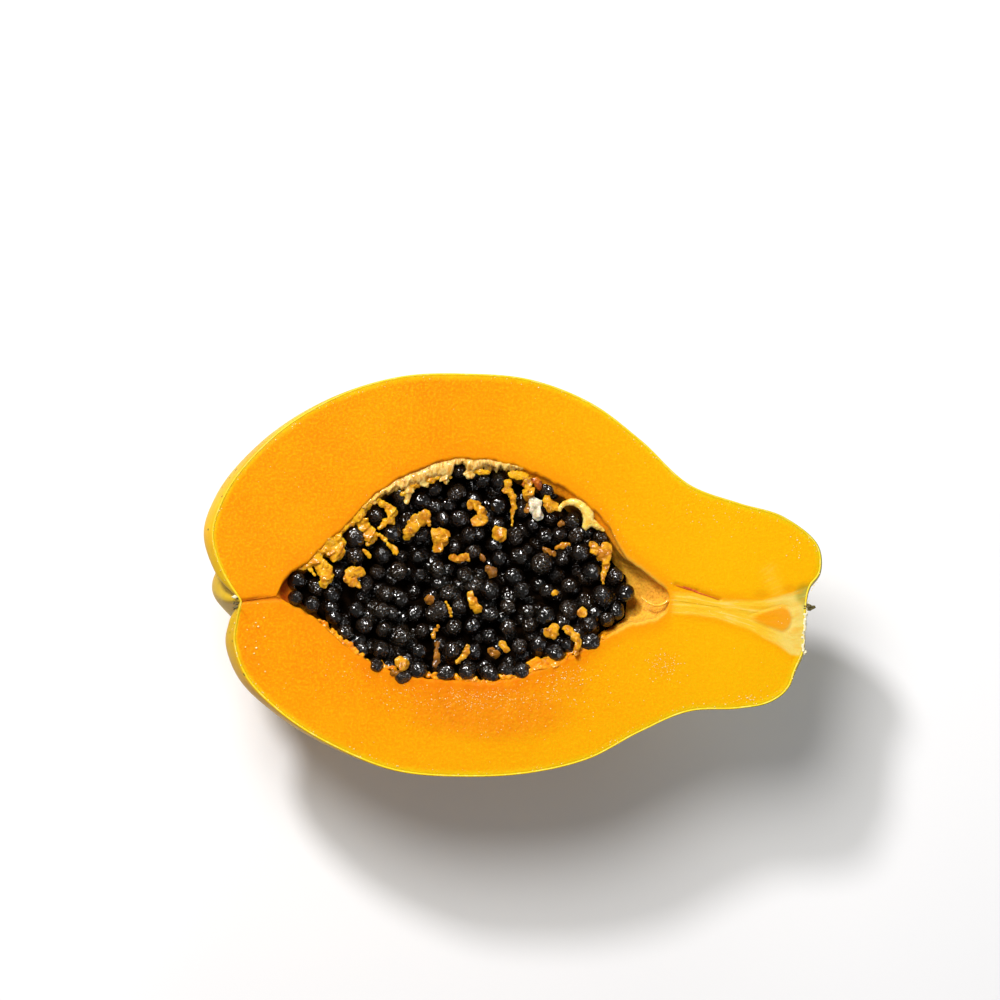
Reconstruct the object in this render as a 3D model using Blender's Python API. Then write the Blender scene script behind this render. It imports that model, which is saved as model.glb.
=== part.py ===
"""Half of a ripe papaya, cut lengthwise through the stem and the blossom scar.

It lies on its rounded back on a small flat spot, with the cut face level and up. X runs along the
fruit from the blossom end (-X) to the stem end (+X), Y lies across the cut face, and Z is up.
Shapes are worked out in millimetres on the cut face, measured from the blossom scar, with depth
below the cut as -Z. The finished solids are moved so that the origin is under the middle.
"""

import math

import bmesh
import bpy
import numpy as np
from mathutils import Euler, Vector

MM = 0.001

# Outline of the half fruit, blossom scar first and stem scar last, in millimetres.
# Each station gives a point of the cut edge on its upper side, the matching point on its lower
# side, and how deep the fruit is below the cut between the two.
OUTLINE = (
    (0.0, 0.0, 0.0, 0.0, 0.0),
    (-5.0, 7.5, -1.0, -5.5, 6.0),
    (-8.5, 17.5, -1.5, -11.5, 13.0),
    (-6.0, 28.5, 1.5, -20.0, 22.0),
    (5.0, 44.0, 11.0, -30.0, 34.5),
    (24.0, 58.0, 27.5, -40.0, 46.5),
    (43.5, 65.0, 46.0, -46.5, 52.5),
    (62.0, 66.5, 64.5, -47.5, 55.0),
    (80.5, 65.5, 83.0, -46.0, 55.0),
    (98.0, 59.5, 100.0, -41.5, 51.0),
    (112.5, 49.5, 114.5, -33.5, 43.0),
    (127.5, 37.0, 129.5, -27.0, 34.0),
    (141.5, 32.5, 142.5, -26.0, 29.5),
    (154.5, 29.0, 151.5, -24.0, 26.0),
    (164.5, 21.0, 157.0, -19.5, 20.5),
    (165.0, 13.0, 159.0, -14.0, 13.8),
    (162.5, 9.8, 160.0, -9.8, 10.0),
    (159.6, 0.0, 159.6, 0.0, 0.0),
)

# Outline of the seed hollow: place along the fruit, upper edge, lower edge, depth.
HOLLOW = (
    (10.0, 1.8, 1.8, 0.0),
    (13.0, 7.0, 0.2, 3.0),
    (18.0, 10.8, -2.5, 7.0),
    (23.0, 16.0, -6.5, 11.5),
    (30.0, 23.0, -12.5, 17.5),
    (38.0, 31.5, -17.5, 22.5),
    (48.0, 38.0, -20.5, 27.0),
    (60.0, 42.0, -21.5, 29.5),
    (72.0, 41.5, -21.5, 30.0),
    (83.0, 38.5, -18.5, 28.0),
    (94.0, 33.0, -13.5, 23.5),
    (103.0, 25.5, -8.5, 17.5),
    (109.5, 15.5, -4.5, 11.5),
    (115.5, 11.0, -1.8, 7.5),
    (121.0, 7.2, 1.4, 3.5),
    (122.2, 4.3, 4.3, 0.0),
)

# The hollow opens between these two stations of the outline.
HOLLOW_FIRST_STATION = 3.8
HOLLOW_LAST_STATION = 11.0

# Five carpels meet in creases at both ends. The cut runs a quarter of a lobe off two creases.
CARPELS = 5
FIRST_LOBE_ANGLE = math.radians(18.0)

# Lobes swell out of a centre by a share of the distance to it. Each kind of relief rises between
# its first two stations and fades out between its last two.
BLOSSOM_LOBE_CENTRE = (24.0, 4.0)
BLOSSOM_LOBE_DEPTH = 0.23
BLOSSOM_LOBE_STATIONS = (0.0, 1.0, 2.0, 6.5)
BELLY_LOBE_DEPTH = 0.022
BELLY_LOBE_STATIONS = (1.5, 5.0, 12.0, 14.0)
STEM_LOBE_CENTRE = (136.0, 2.0)
STEM_LOBE_DEPTH = 0.12
STEM_LOBE_STATIONS = (12.0, 14.5, 15.5, 17.0)
UNEVENNESS = 0.45
UNEVENNESS_LENGTHS = (11.0, 17.0)
UNEVENNESS_STATIONS = (1.0, 4.0, 13.0, 16.0)

# The small flat spot that the fruit rests on is this far up from its lowest point.
FLAT_SPOT_RISE = 1.1

# Mesh steps.
STEPS_PER_STATION = 3
OUTER_STEPS = 22
HOLLOW_STEPS = 16
FACE_STEPS = 3
MERGE_DISTANCE = 0.001

# Seeds, in millimetres. They are drawn at random in the bed and pushed apart, each round by a share
# of what they overlap, until they lie beside and on each other. A seed keeps its own gap to the
# upper wall and its own drop below the bed's top, and is left out where it would be crowded.
SEED_DRAW = 20
SEED_COUNT = 400
SEED_RADIUS = (2.75, 3.35)
SEED_PACKING = 0.95
SEED_PACKING_ROUNDS = 240
SEED_PUSH = 0.24
SEED_SHAPE = (1.0, 0.9, 0.86)
SEED_DROP = 2.4
SEED_WALL_GAP = (0.4, 2.0)
SEED_WALL_REACH = 0.6
SEED_LEAST_ROOM = 0.3
SEED_CROWDING = 0.6
SEED_SHOWN_DEPTH = 3.4

# The bed of seeds is lowest in its middle and highest along its lower edge.
BED_FIRST_X = 14.6
BED_LAST_X = 112.0
BED_END_RAGGEDNESS = 3.0
BED_RIM_DROP = 2.6
BED_TILT = 1.5
BED_MIDDLE_DIP = 3.6
BED_THICKNESS = 10.5

# The matted core of the seed mass, which the seeds stand out of.
CORE_DROP = 2.2
CORE_TOP_SHARE = 0.75
CORE_WALL_GAP = 1.0
CORE_STEPS_ALONG = 26
CORE_STEPS_ACROSS = 12

# Torn scraps of placenta among the seeds: place on the cut face, length, width and turn in degrees.
SCRAPS = (
    (49.5, 22.5, 6.6, 4.0, 62),
    (55.8, 18.8, 6.0, 4.8, 95),
    (65.6, 27.0, 7.4, 3.8, -52),
    (72.4, 20.9, 4.0, 3.6, 0),
    (61.6, 13.8, 5.8, 3.2, 5),
    (32.6, 8.0, 5.8, 3.4, 12),
    (66.2, 2.0, 5.2, 3.0, -70),
    (71.0, 9.4, 3.6, 3.0, 30),
    (88.0, -5.6, 5.6, 3.4, 15),
    (94.0, -6.4, 6.2, 3.0, -60),
    (46.6, -16.2, 3.8, 3.4, 0),
    (75.0, -10.4, 3.8, 3.0, 20),
    (93.6, 29.4, 7.6, 4.0, -35),
    (84.6, 29.0, 4.6, 3.0, -75),
)
SCRAP_THICKNESS = 3.2
SCRAP_RISE = 1.375

# Faces round and along each seed and scrap.
LUMP_SIDES = 6
LUMP_RINGS = 4

FLESH_COLOUR = (0.956, 0.342, 0.004)
FLESH_ROUGHNESS = 0.4
SEED_COLOUR = (0.018, 0.014, 0.011)
SEED_ROUGHNESS = 0.25
SHARP_FROM = math.radians(40.0)


def clear_scene():
    """Removes every object, so that the script can be run again."""
    for old in list(bpy.data.objects):
        bpy.data.objects.remove(old, do_unlink=True)


def smooth_between(low, high, value):
    """0 below low, 1 above high and a smooth rise between."""
    share = np.clip((value - low) / (high - low), 0.0, 1.0)
    return share * share * (3.0 - 2.0 * share)


def relief_at(station, limits):
    """How strong a kind of relief is at a station, from 0 to 1."""
    rise_from, rise_to, fall_from, fall_to = limits
    rise = smooth_between(rise_from, rise_to, station)
    return float(rise * (1 - smooth_between(fall_from, fall_to, station)))


def swollen(point, centre, swell):
    """The point moved away from a centre on the cut face by a share of the distance."""
    middle = Vector((*centre, 0.0))
    return middle + (point - middle) * (1 + swell)


def along_rows(rows, station):
    """A smooth curve through the rows of a table, at a station counted from 0."""
    table = np.array(rows, float)
    last = len(table) - 1
    index = int(min(max(math.floor(station), 0), last - 1))
    steps = np.linalg.norm(np.diff(table, axis=0), axis=1)
    slopes = np.diff(table, axis=0) / steps[:, None]

    def tangent(k):
        if k in (0, last):
            return slopes[min(k, last - 1)]
        before, after = steps[k - 1], steps[k]
        return (before * slopes[k] + after * slopes[k - 1]) / (before + after)

    share = station - index
    length = steps[index]
    start, end = table[index], table[index + 1]
    out, into = tangent(index) * length, tangent(index + 1) * length
    return (
        (2 * share**3 - 3 * share**2 + 1) * start
        + (share**3 - 2 * share**2 + share) * out
        + (3 * share**2 - 2 * share**3) * end
        + (share**3 - share**2) * into
    )


def hollow_at(x):
    """Middle, half width and depth of the hollow at a place along the fruit."""
    table = np.array(HOLLOW, float)
    x = min(max(x, table[0, 0]), table[-1, 0])
    index = int(np.searchsorted(table[1:-1, 0], x, side="right"))
    share = (x - table[index, 0]) / (table[index + 1, 0] - table[index, 0])
    if index == 0:
        share = math.sqrt(share)
    if index == len(table) - 2:
        share = 1.0 - math.sqrt(1.0 - share)
    low, high = table[index], table[index + 1]
    upper, lower, depth = (low + (high - low) * share)[1:]
    return (upper + lower) / 2, (upper - lower) / 2, depth


def carpel_ridge(angle):
    """Rounded lobes between sharp creases, 0 at both edges of the cut."""
    phase = CARPELS / 2 * (angle - FIRST_LOBE_ANGLE)
    return abs(math.cos(phase)) - math.cos(CARPELS / 2 * FIRST_LOBE_ANGLE)


def outer_point(station, angle):
    """A point of the skin. The angle is 0 at the upper cut edge and pi at the lower one."""
    upper_x, upper_y, lower_x, lower_y, depth = along_rows(OUTLINE, station)
    across = math.cos(angle)
    x = (upper_x + lower_x) / 2 + (upper_x - lower_x) / 2 * across
    y = (upper_y + lower_y) / 2 + (upper_y - lower_y) / 2 * across
    point = Vector((x, y, -depth * math.sin(angle)))
    ridge = carpel_ridge(angle)
    blossom = BLOSSOM_LOBE_DEPTH * relief_at(station, BLOSSOM_LOBE_STATIONS)
    belly = BELLY_LOBE_DEPTH * relief_at(station, BELLY_LOBE_STATIONS)
    stem = STEM_LOBE_DEPTH * relief_at(station, STEM_LOBE_STATIONS)
    point = swollen(point, BLOSSOM_LOBE_CENTRE, ridge * (blossom + belly))
    point = swollen(point, STEM_LOBE_CENTRE, ridge * stem)
    short, long = UNEVENNESS_LENGTHS
    wave = math.sin(point.x / short + 2.0 * angle) + math.sin(point.x / long - 3.0 * angle + 1.0)
    uneven = UNEVENNESS * relief_at(station, UNEVENNESS_STATIONS)
    point.z -= uneven * wave * math.sin(angle) ** 2
    return point


def hollow_point(x, angle):
    """A point of the hollow's wall. The angle is 0 at its upper edge and pi at its lower one."""
    middle, half, depth = hollow_at(x)
    return Vector((x, middle + half * math.cos(angle), -depth * math.sin(angle)))


def inner_point(station, angle):
    """The point of the hollow's wall that goes with a station of the outline.

    Towards both ends, where the hollow has closed, it is a point of the line that joins its tip
    to the scar there.
    """
    last = len(OUTLINE) - 1
    tip, tail = Vector((*HOLLOW[0][:2], 0.0)), Vector((*HOLLOW[-1][:2], 0.0))
    if station <= HOLLOW_FIRST_STATION:
        return tip * (station / HOLLOW_FIRST_STATION)
    if station >= HOLLOW_LAST_STATION:
        share = (station - HOLLOW_LAST_STATION) / (last - HOLLOW_LAST_STATION)
        return tail.lerp(Vector((OUTLINE[-1][0], 0.0, 0.0)), share)
    row = along_rows(OUTLINE, station)
    first = along_rows(OUTLINE, HOLLOW_FIRST_STATION)
    final = along_rows(OUTLINE, HOLLOW_LAST_STATION)
    share = (row[0] + row[2] - first[0] - first[2]) / (final[0] + final[2] - first[0] - first[2])
    return hollow_point(tip.x + (tail.x - tip.x) * share, angle)


def flesh_point(station, turn):
    """A point of the flesh, going once round a slice: skin, lower cut face, hollow, upper face."""
    count = OUTER_STEPS + HOLLOW_STEPS + 2 * FACE_STEPS
    step = round(turn * count)
    if step <= OUTER_STEPS:
        return outer_point(station, math.pi * step / OUTER_STEPS)
    step -= OUTER_STEPS
    if step <= FACE_STEPS:
        edge, rim = outer_point(station, math.pi), inner_point(station, math.pi)
        return edge.lerp(rim, step / FACE_STEPS)
    step -= FACE_STEPS
    if step <= HOLLOW_STEPS:
        return inner_point(station, math.pi * (1 - step / HOLLOW_STEPS))
    step -= HOLLOW_STEPS
    edge, rim = outer_point(station, 0.0), inner_point(station, 0.0)
    return rim.lerp(edge, step / FACE_STEPS)


def wrapped_sheet(steps_around, steps_along, place):
    """A sheet whose two sides and two ends are closed by place(share round, share along)."""
    bm = bmesh.new()
    bmesh.ops.create_grid(bm, x_segments=steps_around, y_segments=steps_along, size=1.0)
    for vert in bm.verts:
        vert.co = place((vert.co.x + 1) / 2, (vert.co.y + 1) / 2)
    bmesh.ops.remove_doubles(bm, verts=bm.verts, dist=MERGE_DISTANCE)
    bmesh.ops.dissolve_degenerate(bm, dist=MERGE_DISTANCE, edges=bm.edges)
    bmesh.ops.recalc_face_normals(bm, faces=bm.faces)
    return bm


def flesh_mesh():
    """The half fruit, skin and flesh in one, with its seed hollow and its flat spot."""
    last = len(OUTLINE) - 1

    def place(turn, share):
        return flesh_point(round(share * last * STEPS_PER_STATION) / STEPS_PER_STATION, turn)

    steps_around = OUTER_STEPS + HOLLOW_STEPS + 2 * FACE_STEPS
    bm = wrapped_sheet(steps_around, last * STEPS_PER_STATION, place)
    lowest = min(vert.co.z for vert in bm.verts)
    cut = bmesh.ops.bisect_plane(
        bm,
        geom=bm.verts[:] + bm.edges[:] + bm.faces[:],
        plane_co=(0.0, 0.0, lowest + FLAT_SPOT_RISE),
        plane_no=(0.0, 0.0, -1.0),
        clear_outer=True,
    )
    rim = [item for item in cut["geom_cut"] if isinstance(item, bmesh.types.BMEdge)]
    bmesh.ops.contextual_create(bm, geom=rim)
    return bm


def bed_height(x, y):
    """How high the middles of the top seeds lie, below the cut face."""
    middle, half, _ = hollow_at(x)
    side = (y - middle) / max(half, 1.0)
    along = (x - (BED_FIRST_X + BED_LAST_X) / 2) / ((BED_LAST_X - BED_FIRST_X) / 2)
    openness = max(0.0, 1 - side * side) * max(0.0, 1 - along * along)
    return -BED_RIM_DROP - BED_TILT * side - BED_MIDDLE_DIP * openness


def narrowest_hollow(x, room):
    """Middle, half width and depth of the hollow where it is narrowest beside a seed at x."""
    rows = [hollow_at(x + step) for step in (-room, 0.0, room)]
    upper = min(middle + half for middle, half, _ in rows)
    lower = max(middle - half for middle, half, _ in rows)
    return (upper + lower) / 2, (upper - lower) / 2, min(row[2] for row in rows)


def keep_in_bed(places, radii, gaps, drops):
    """Moves seeds that have left the bed back into it."""
    for index, (radius, gap, drop) in enumerate(zip(radii, gaps, drops)):
        x, y, z = places[index]
        x = min(max(x, BED_FIRST_X + gap), BED_LAST_X - BED_END_RAGGEDNESS * gap)
        top = bed_height(x, y)
        z = min(max(z, top - BED_THICKNESS), top - drop)
        middle, half, depth = narrowest_hollow(x, radius * SEED_WALL_REACH)
        room = radius + (gap if y > middle else SEED_WALL_GAP[0])
        half, depth = max(half - room, SEED_LEAST_ROOM), max(depth - radius, SEED_LEAST_ROOM)
        reach = math.hypot((y - middle) / half, z / depth)
        if reach > 1:
            y = middle + (y - middle) / reach
            z /= reach
        places[index] = (x, y, z)


def uncrowded(places, contact):
    """The seeds that are left when each one that sinks far into an earlier one is taken out."""
    kept = []
    for index, place in enumerate(places):
        near = np.linalg.norm(places[kept] - place, axis=1) < contact[index, kept] * SEED_CROWDING
        if not near.any():
            kept.append(index)
    return kept


def packed_seeds():
    """Places and radii of the seeds, pushed apart until they lie beside and on each other."""
    draw = np.random.RandomState(SEED_DRAW)
    radii = draw.uniform(*SEED_RADIUS, SEED_COUNT)
    drops = SEED_DROP * draw.uniform(0.0, 1.0, SEED_COUNT) ** 2
    gaps = draw.uniform(*SEED_WALL_GAP, SEED_COUNT)
    places = np.empty((SEED_COUNT, 3))
    lowest, highest = min(row[2] for row in HOLLOW), max(row[1] for row in HOLLOW)
    for index in range(SEED_COUNT):
        while True:
            x = draw.uniform(BED_FIRST_X, BED_LAST_X)
            y = draw.uniform(lowest, highest)
            z = bed_height(x, y) - draw.uniform(0.0, BED_THICKNESS)
            middle, half, depth = hollow_at(x)
            if math.hypot((y - middle) / half, z / depth) < 1:
                break
        places[index] = (x, y, z)
    contact = (radii[:, None] + radii[None, :]) * SEED_PACKING
    for _ in range(SEED_PACKING_ROUNDS):
        apart = places[:, None, :] - places[None, :, :]
        distance = np.linalg.norm(apart, axis=2) + np.eye(SEED_COUNT) * 1e3
        push = np.clip(contact - distance, 0.0, None) / distance
        places += SEED_PUSH * (apart * push[:, :, None]).sum(axis=1)
        keep_in_bed(places, radii, gaps, drops)
    kept = uncrowded(places, contact)
    return places[kept], radii[kept]


def seed_turns(count):
    """A turn for each seed, drawn after the packing's own numbers."""
    draw = np.random.RandomState(SEED_DRAW + 1)
    return draw.uniform(-math.pi, math.pi, (count, 3))


def core_top(x, y, depth):
    """How high the matted core reaches. It thins out with the hollow's depth at both ends."""
    return max(bed_height(x, y) - CORE_DROP, -CORE_TOP_SHARE * depth)


def core_mesh():
    """The matted core: it follows the hollow's wall below and the bed of seeds above."""

    def place(turn, share):
        across = 2 * CORE_STEPS_ACROSS
        step = round(turn * across)
        x = BED_FIRST_X + (BED_LAST_X - BED_FIRST_X) * share
        middle, half, depth = hollow_at(x)
        half, depth = half - CORE_WALL_GAP, depth - CORE_WALL_GAP
        ends = []
        for side in (-1, 1):
            edge_top = core_top(x, middle + side * half, depth)
            ends.append(side * math.sqrt(max(1 - (edge_top / depth) ** 2, 0.0)))
        if share in (0.0, 1.0):
            ends = [0.0, 0.0]
        first, last = math.acos(ends[0]), math.acos(ends[1])
        below = min(step, across - step) / CORE_STEPS_ACROSS
        angle = first + (last - first) * below
        y = middle + half * math.cos(angle)
        z = -depth * math.sin(angle)
        if step > CORE_STEPS_ACROSS or share in (0.0, 1.0):
            z = max(core_top(x, y, depth), z)
        return Vector((x, y, z))

    return wrapped_sheet(2 * CORE_STEPS_ACROSS, CORE_STEPS_ALONG, place)


def new_object(name, bm):
    """An object from a bmesh in millimetres."""
    bmesh.ops.scale(bm, vec=(MM, MM, MM), verts=bm.verts)
    mesh = bpy.data.meshes.new(name)
    bm.to_mesh(mesh)
    bm.free()
    made = bpy.data.objects.new(name, mesh)
    bpy.context.scene.collection.objects.link(made)
    return made


def lump(size, turn, place):
    """One seed or scrap as a small faceted ball, stretched, turned and put in place."""
    bm = bmesh.new()
    bmesh.ops.create_uvsphere(bm, u_segments=LUMP_SIDES, v_segments=LUMP_RINGS, radius=1.0)
    bmesh.ops.scale(bm, vec=size, verts=bm.verts)
    bmesh.ops.rotate(bm, cent=(0, 0, 0), matrix=Euler(turn).to_matrix(), verts=bm.verts)
    bmesh.ops.translate(bm, vec=place, verts=bm.verts)
    return new_object("lump", bm)


def keep_largest_body(mesh):
    """Drops loose scraps that a union leaves beside the main body."""
    bm = bmesh.new()
    bm.from_mesh(mesh)
    left = set(bm.verts)
    bodies = []
    while left:
        edge = [left.pop()]
        body = set(edge)
        while edge:
            for link in edge.pop().link_edges:
                for vert in link.verts:
                    if vert in left:
                        left.remove(vert)
                        body.add(vert)
                        edge.append(vert)
        bodies.append(body)
    bodies.sort(key=len)
    loose = [vert for body in bodies[:-1] for vert in body]
    bmesh.ops.delete(bm, geom=loose, context="VERTS")
    bm.to_mesh(mesh)
    bm.free()


def seed_mass():
    """All seeds and scraps that show, joined with their core into one body."""
    places, radii = packed_seeds()
    turns = seed_turns(len(radii))
    lumps = bpy.data.collections.new("lumps")
    bpy.context.scene.collection.children.link(lumps)
    for place, radius, turn in zip(places, radii, turns):
        if place[2] < bed_height(place[0], place[1]) - SEED_SHOWN_DEPTH:
            continue
        lumps.objects.link(lump([radius * part for part in SEED_SHAPE], turn, place))
    for x, y, length, width, turn in SCRAPS:
        top = Vector((x, y, bed_height(x, y) + SCRAP_RISE))
        size = (length / 2, width / 2, SCRAP_THICKNESS / 2)
        lumps.objects.link(lump(size, (0.0, 0.0, math.radians(turn)), top))
    mass = new_object("seeds", core_mesh())
    union = mass.modifiers.new("join the seeds", "BOOLEAN")
    union.operation = "UNION"
    union.operand_type = "COLLECTION"
    union.collection = lumps
    union.use_self = True
    bpy.context.view_layer.update()
    graph = bpy.context.evaluated_depsgraph_get()
    joined = bpy.data.meshes.new_from_object(mass.evaluated_get(graph))
    mass.modifiers.clear()
    mass.data = joined
    for used in list(lumps.objects):
        bpy.data.objects.remove(used, do_unlink=True)
    bpy.data.collections.remove(lumps)
    keep_largest_body(mass.data)
    return mass


def give_material(made, name, colour, roughness):
    """A plain material of the part's colour."""
    material = bpy.data.materials.new(name)
    material.use_nodes = True
    shader = material.node_tree.nodes["Principled BSDF"]
    shader.inputs["Base Color"].default_value = (*colour, 1.0)
    shader.inputs["Roughness"].default_value = roughness
    shader.inputs["Metallic"].default_value = 0.0
    made.data.materials.clear()
    made.data.materials.append(material)


def main():
    clear_scene()
    half = new_object("papaya_half", flesh_mesh())
    seeds = seed_mass()
    give_material(half, "flesh", FLESH_COLOUR, FLESH_ROUGHNESS)
    give_material(seeds, "seed coat", SEED_COLOUR, SEED_ROUGHNESS)
    corners = np.array([vert.co[:] for vert in half.data.vertices])
    low, high = corners.min(axis=0), corners.max(axis=0)
    under_middle = Vector(((low[0] + high[0]) / 2, (low[1] + high[1]) / 2, low[2]))
    for made in (half, seeds):
        made.location = -under_middle
    half.data.shade_smooth()
    half.data.set_sharp_from_angle(angle=SHARP_FROM)
    seeds.data.shade_smooth()


main()
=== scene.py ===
"""The looks of a ripe papaya half: skin, cut flesh, seeds, torn pulp, and a small pale studio.

Shapes are worked out in millimetres on the cut face, measured from the blossom scar: X runs along
the fruit to the stem scar, Y across the cut face, and depth below the cut is -Z. Each finished
piece is then moved into the part's own frame.
"""

import math

import bmesh
import bpy
import numpy as np
from mathutils import Euler, Matrix, Vector, noise


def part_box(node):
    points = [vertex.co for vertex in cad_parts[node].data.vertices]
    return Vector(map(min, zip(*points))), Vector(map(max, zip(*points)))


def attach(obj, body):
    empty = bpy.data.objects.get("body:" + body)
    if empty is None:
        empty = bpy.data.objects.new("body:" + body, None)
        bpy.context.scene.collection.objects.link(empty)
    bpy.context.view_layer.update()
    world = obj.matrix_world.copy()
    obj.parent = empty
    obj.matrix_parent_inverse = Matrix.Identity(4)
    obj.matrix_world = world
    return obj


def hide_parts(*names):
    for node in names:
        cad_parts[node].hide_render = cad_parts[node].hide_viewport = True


MM = 0.001

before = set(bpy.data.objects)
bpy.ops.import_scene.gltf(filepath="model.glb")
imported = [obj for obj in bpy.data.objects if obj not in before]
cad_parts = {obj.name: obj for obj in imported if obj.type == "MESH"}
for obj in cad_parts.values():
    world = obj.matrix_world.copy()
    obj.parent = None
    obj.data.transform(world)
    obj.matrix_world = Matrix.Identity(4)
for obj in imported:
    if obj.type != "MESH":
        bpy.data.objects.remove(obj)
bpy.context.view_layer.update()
HALF_LOW, HALF_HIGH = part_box("papaya_half")
REST_Z = (HALF_LOW.z - HALF_HIGH.z) / MM

# Camera and light

# The photograph is 283 mm wide at the cut face, and its middle is this point of the cut face.
VIEW_WIDTH = 283.0
VIEW_MIDDLE = (72.7, 31.0)
LENS = 180.0
SENSOR = 36.0
VIEW_FROM_BLOSSOM, VIEW_FROM_BELOW = math.tan(math.radians(7.0)), math.tan(math.radians(3.0))
VIEW_BACK = Vector((-VIEW_FROM_BLOSSOM, -VIEW_FROM_BELOW, 1.0)).normalized()
VIEW_DISTANCE = VIEW_WIDTH * LENS / SENSOR
VIEW_ROLL = math.radians(2.0)

# Soft lights: place from the fruit's middle in metres, size in metres, watts and colour.
LIGHTS = {
    "key": ((-0.35, 0.42, 0.95), 0.46, 8.5, "#FFFDFA"),
    "glint": ((-0.52, 0.72, 0.90), 0.17, 12.5, "#FAF8FA"),
    "fill": ((0.75, -0.30, 0.60), 0.60, 1.7, "#F4F8FF"),
    "edge": ((0.10, 0.95, 0.35), 0.50, 2.0, "#FFFFFF"),
}
WORLD_COLOUR = "#FFFFFF"
WORLD_STRENGTH = 0.17
FLOOR_SIZE = 4.0

# The fruit's own shape

# Outline of the half fruit, blossom scar first and stem scar last, in millimetres: a point of the
# cut edge on its upper side, the matching point on its lower side, and the depth between them.
OUTLINE = (
    (0.0, 0.0, 0.0, 0.0, 0.0),
    (-5.0, 7.5, -1.0, -5.5, 6.0),
    (-8.5, 17.5, -1.5, -11.5, 13.0),
    (-6.0, 28.5, 1.5, -20.0, 22.0),
    (5.0, 44.0, 11.0, -30.0, 34.5),
    (24.0, 58.0, 27.5, -40.0, 46.5),
    (43.5, 65.0, 46.0, -46.5, 52.5),
    (62.0, 66.5, 64.5, -47.5, 55.0),
    (80.5, 65.5, 83.0, -46.0, 55.0),
    (98.0, 59.5, 100.0, -41.5, 51.0),
    (112.5, 49.5, 114.5, -33.5, 43.0),
    (127.5, 37.0, 129.5, -27.0, 34.0),
    (141.5, 32.5, 142.5, -26.0, 29.5),
    (154.5, 29.0, 151.5, -24.0, 26.0),
    (164.5, 21.0, 157.0, -19.5, 20.5),
    (165.0, 13.0, 159.0, -14.0, 13.8),
    (162.7, 9.8, 160.8, -9.8, 10.0),
    (161.2, 0.0, 161.2, 0.0, 0.0),
)

# Outline of the seed hollow: place along the fruit, upper edge, lower edge, depth.
HOLLOW = (
    (10.0, 1.8, 1.8, 0.0),
    (13.0, 7.0, 0.2, 3.0),
    (18.0, 10.8, -2.5, 7.0),
    (23.0, 16.0, -6.5, 11.5),
    (30.0, 23.0, -12.5, 17.5),
    (38.0, 31.5, -17.5, 22.5),
    (48.0, 38.0, -20.5, 27.0),
    (60.0, 42.0, -21.5, 29.5),
    (72.0, 41.5, -21.5, 30.0),
    (83.0, 38.5, -18.5, 28.0),
    (94.0, 33.0, -13.5, 23.5),
    (103.0, 25.5, -8.5, 17.5),
    (109.5, 15.5, -4.5, 11.5),
    (115.5, 11.0, -1.8, 7.5),
    (121.0, 7.2, 1.4, 3.5),
    (122.2, 4.3, 4.3, 0.0),
)
HOLLOW_FIRST_STATION = 3.8
HOLLOW_LAST_STATION = 11.0

# Five carpels meet in creases at both ends, and swell out of a centre by a share of the distance.
CARPELS = 5
FIRST_LOBE_ANGLE = math.radians(18.0)
BLOSSOM_LOBE_CENTRE = (24.0, 4.0)
BLOSSOM_LOBE_DEPTH = 0.23
BLOSSOM_LOBE_STATIONS = (0.0, 1.0, 2.0, 6.5)
BELLY_LOBE_DEPTH = 0.022
BELLY_LOBE_STATIONS = (1.5, 5.0, 12.0, 14.0)
STEM_LOBE_CENTRE = (136.0, 2.0)
STEM_LOBE_DEPTH = 0.12
STEM_LOBE_STATIONS = (12.0, 14.5, 15.5, 17.0)
UNEVENNESS = 0.45
UNEVENNESS_LENGTHS = (11.0, 17.0)
UNEVENNESS_STATIONS = (1.0, 4.0, 13.0, 16.0)

# Mesh steps. The stations lie closest together along the seed hollow.
STATIONS = np.concatenate((
    np.linspace(0.0, HOLLOW_FIRST_STATION, 48, endpoint=False),
    np.linspace(HOLLOW_FIRST_STATION, HOLLOW_LAST_STATION, 200, endpoint=False),
    np.linspace(HOLLOW_LAST_STATION, len(OUTLINE) - 1.0, 125),
))
SKIN_STEPS = 96
FLESH_OUTER_STEPS = 48
FACE_STEPS = 58
FACE_STEP_CROWDING = 0.12
HOLLOW_STEPS = 72
HOLLOW_SAMPLES = 301
MERGE_DISTANCE = 0.002

# The cut face
SKIN_THICKNESS = 0.55
RIM_ROUNDING = 1.1
RIM_RAGGEDNESS = 0.55
LOWER_RIM_OVERHANG = 1.3
RIM_RAGGED_SIZE = 3.4
RIM_FRAYED_SIZE = 1.2
WALL_STEP_CROWDING = 0.12
WALL_LUMPS = 0.45
WALL_LUMP_SIZE = 4.5
WALL_GRAIN = 0.22
WALL_GRAIN_SIZE = 1.3
KNIFE_WAVE = 0.14
KNIFE_WAVE_SIZE = 19.0

# The hollow counts as closed below this half width or depth, and its wall is at least this deep
# where it is open. The upper and the lower rim follow noise that lies this far apart. The last two
# are shares of the way down the wall.
CLOSED_HOLLOW = 0.01
LEAST_WALL = 0.1
RIM_NOISE_APART = 9.0
RIM_FRAYING = 0.6
SHELF_FROM = (0.0, 0.09)
WALL_RELIEF_FROM = (0.0, 0.35)

# The rim opens, and its lower side begins to hang over, as the hollow's half width grows.
OPENING_HALF_WIDTHS = (0.2, 3.0)
OVERHANG_HALF_WIDTHS = (4.0, 12.0)

# Stretches of the hollow's rim, in millimetres along the fruit: each rises between its first two
# places and fades out between its last two.
SHELF_WIDTH = 2.3
SHELF_STRETCH = (68.0, 82.0, 103.0, 111.0)
UPPER_RIM_STRETCH = (28.0, 36.0, 104.0, 110.0)
LOWER_RIM_STRETCH = (22.0, 44.0, 92.0, 108.0)
STEM_RIM_STRETCH = (101.0, 112.0, 120.0, 122.0)

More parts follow.
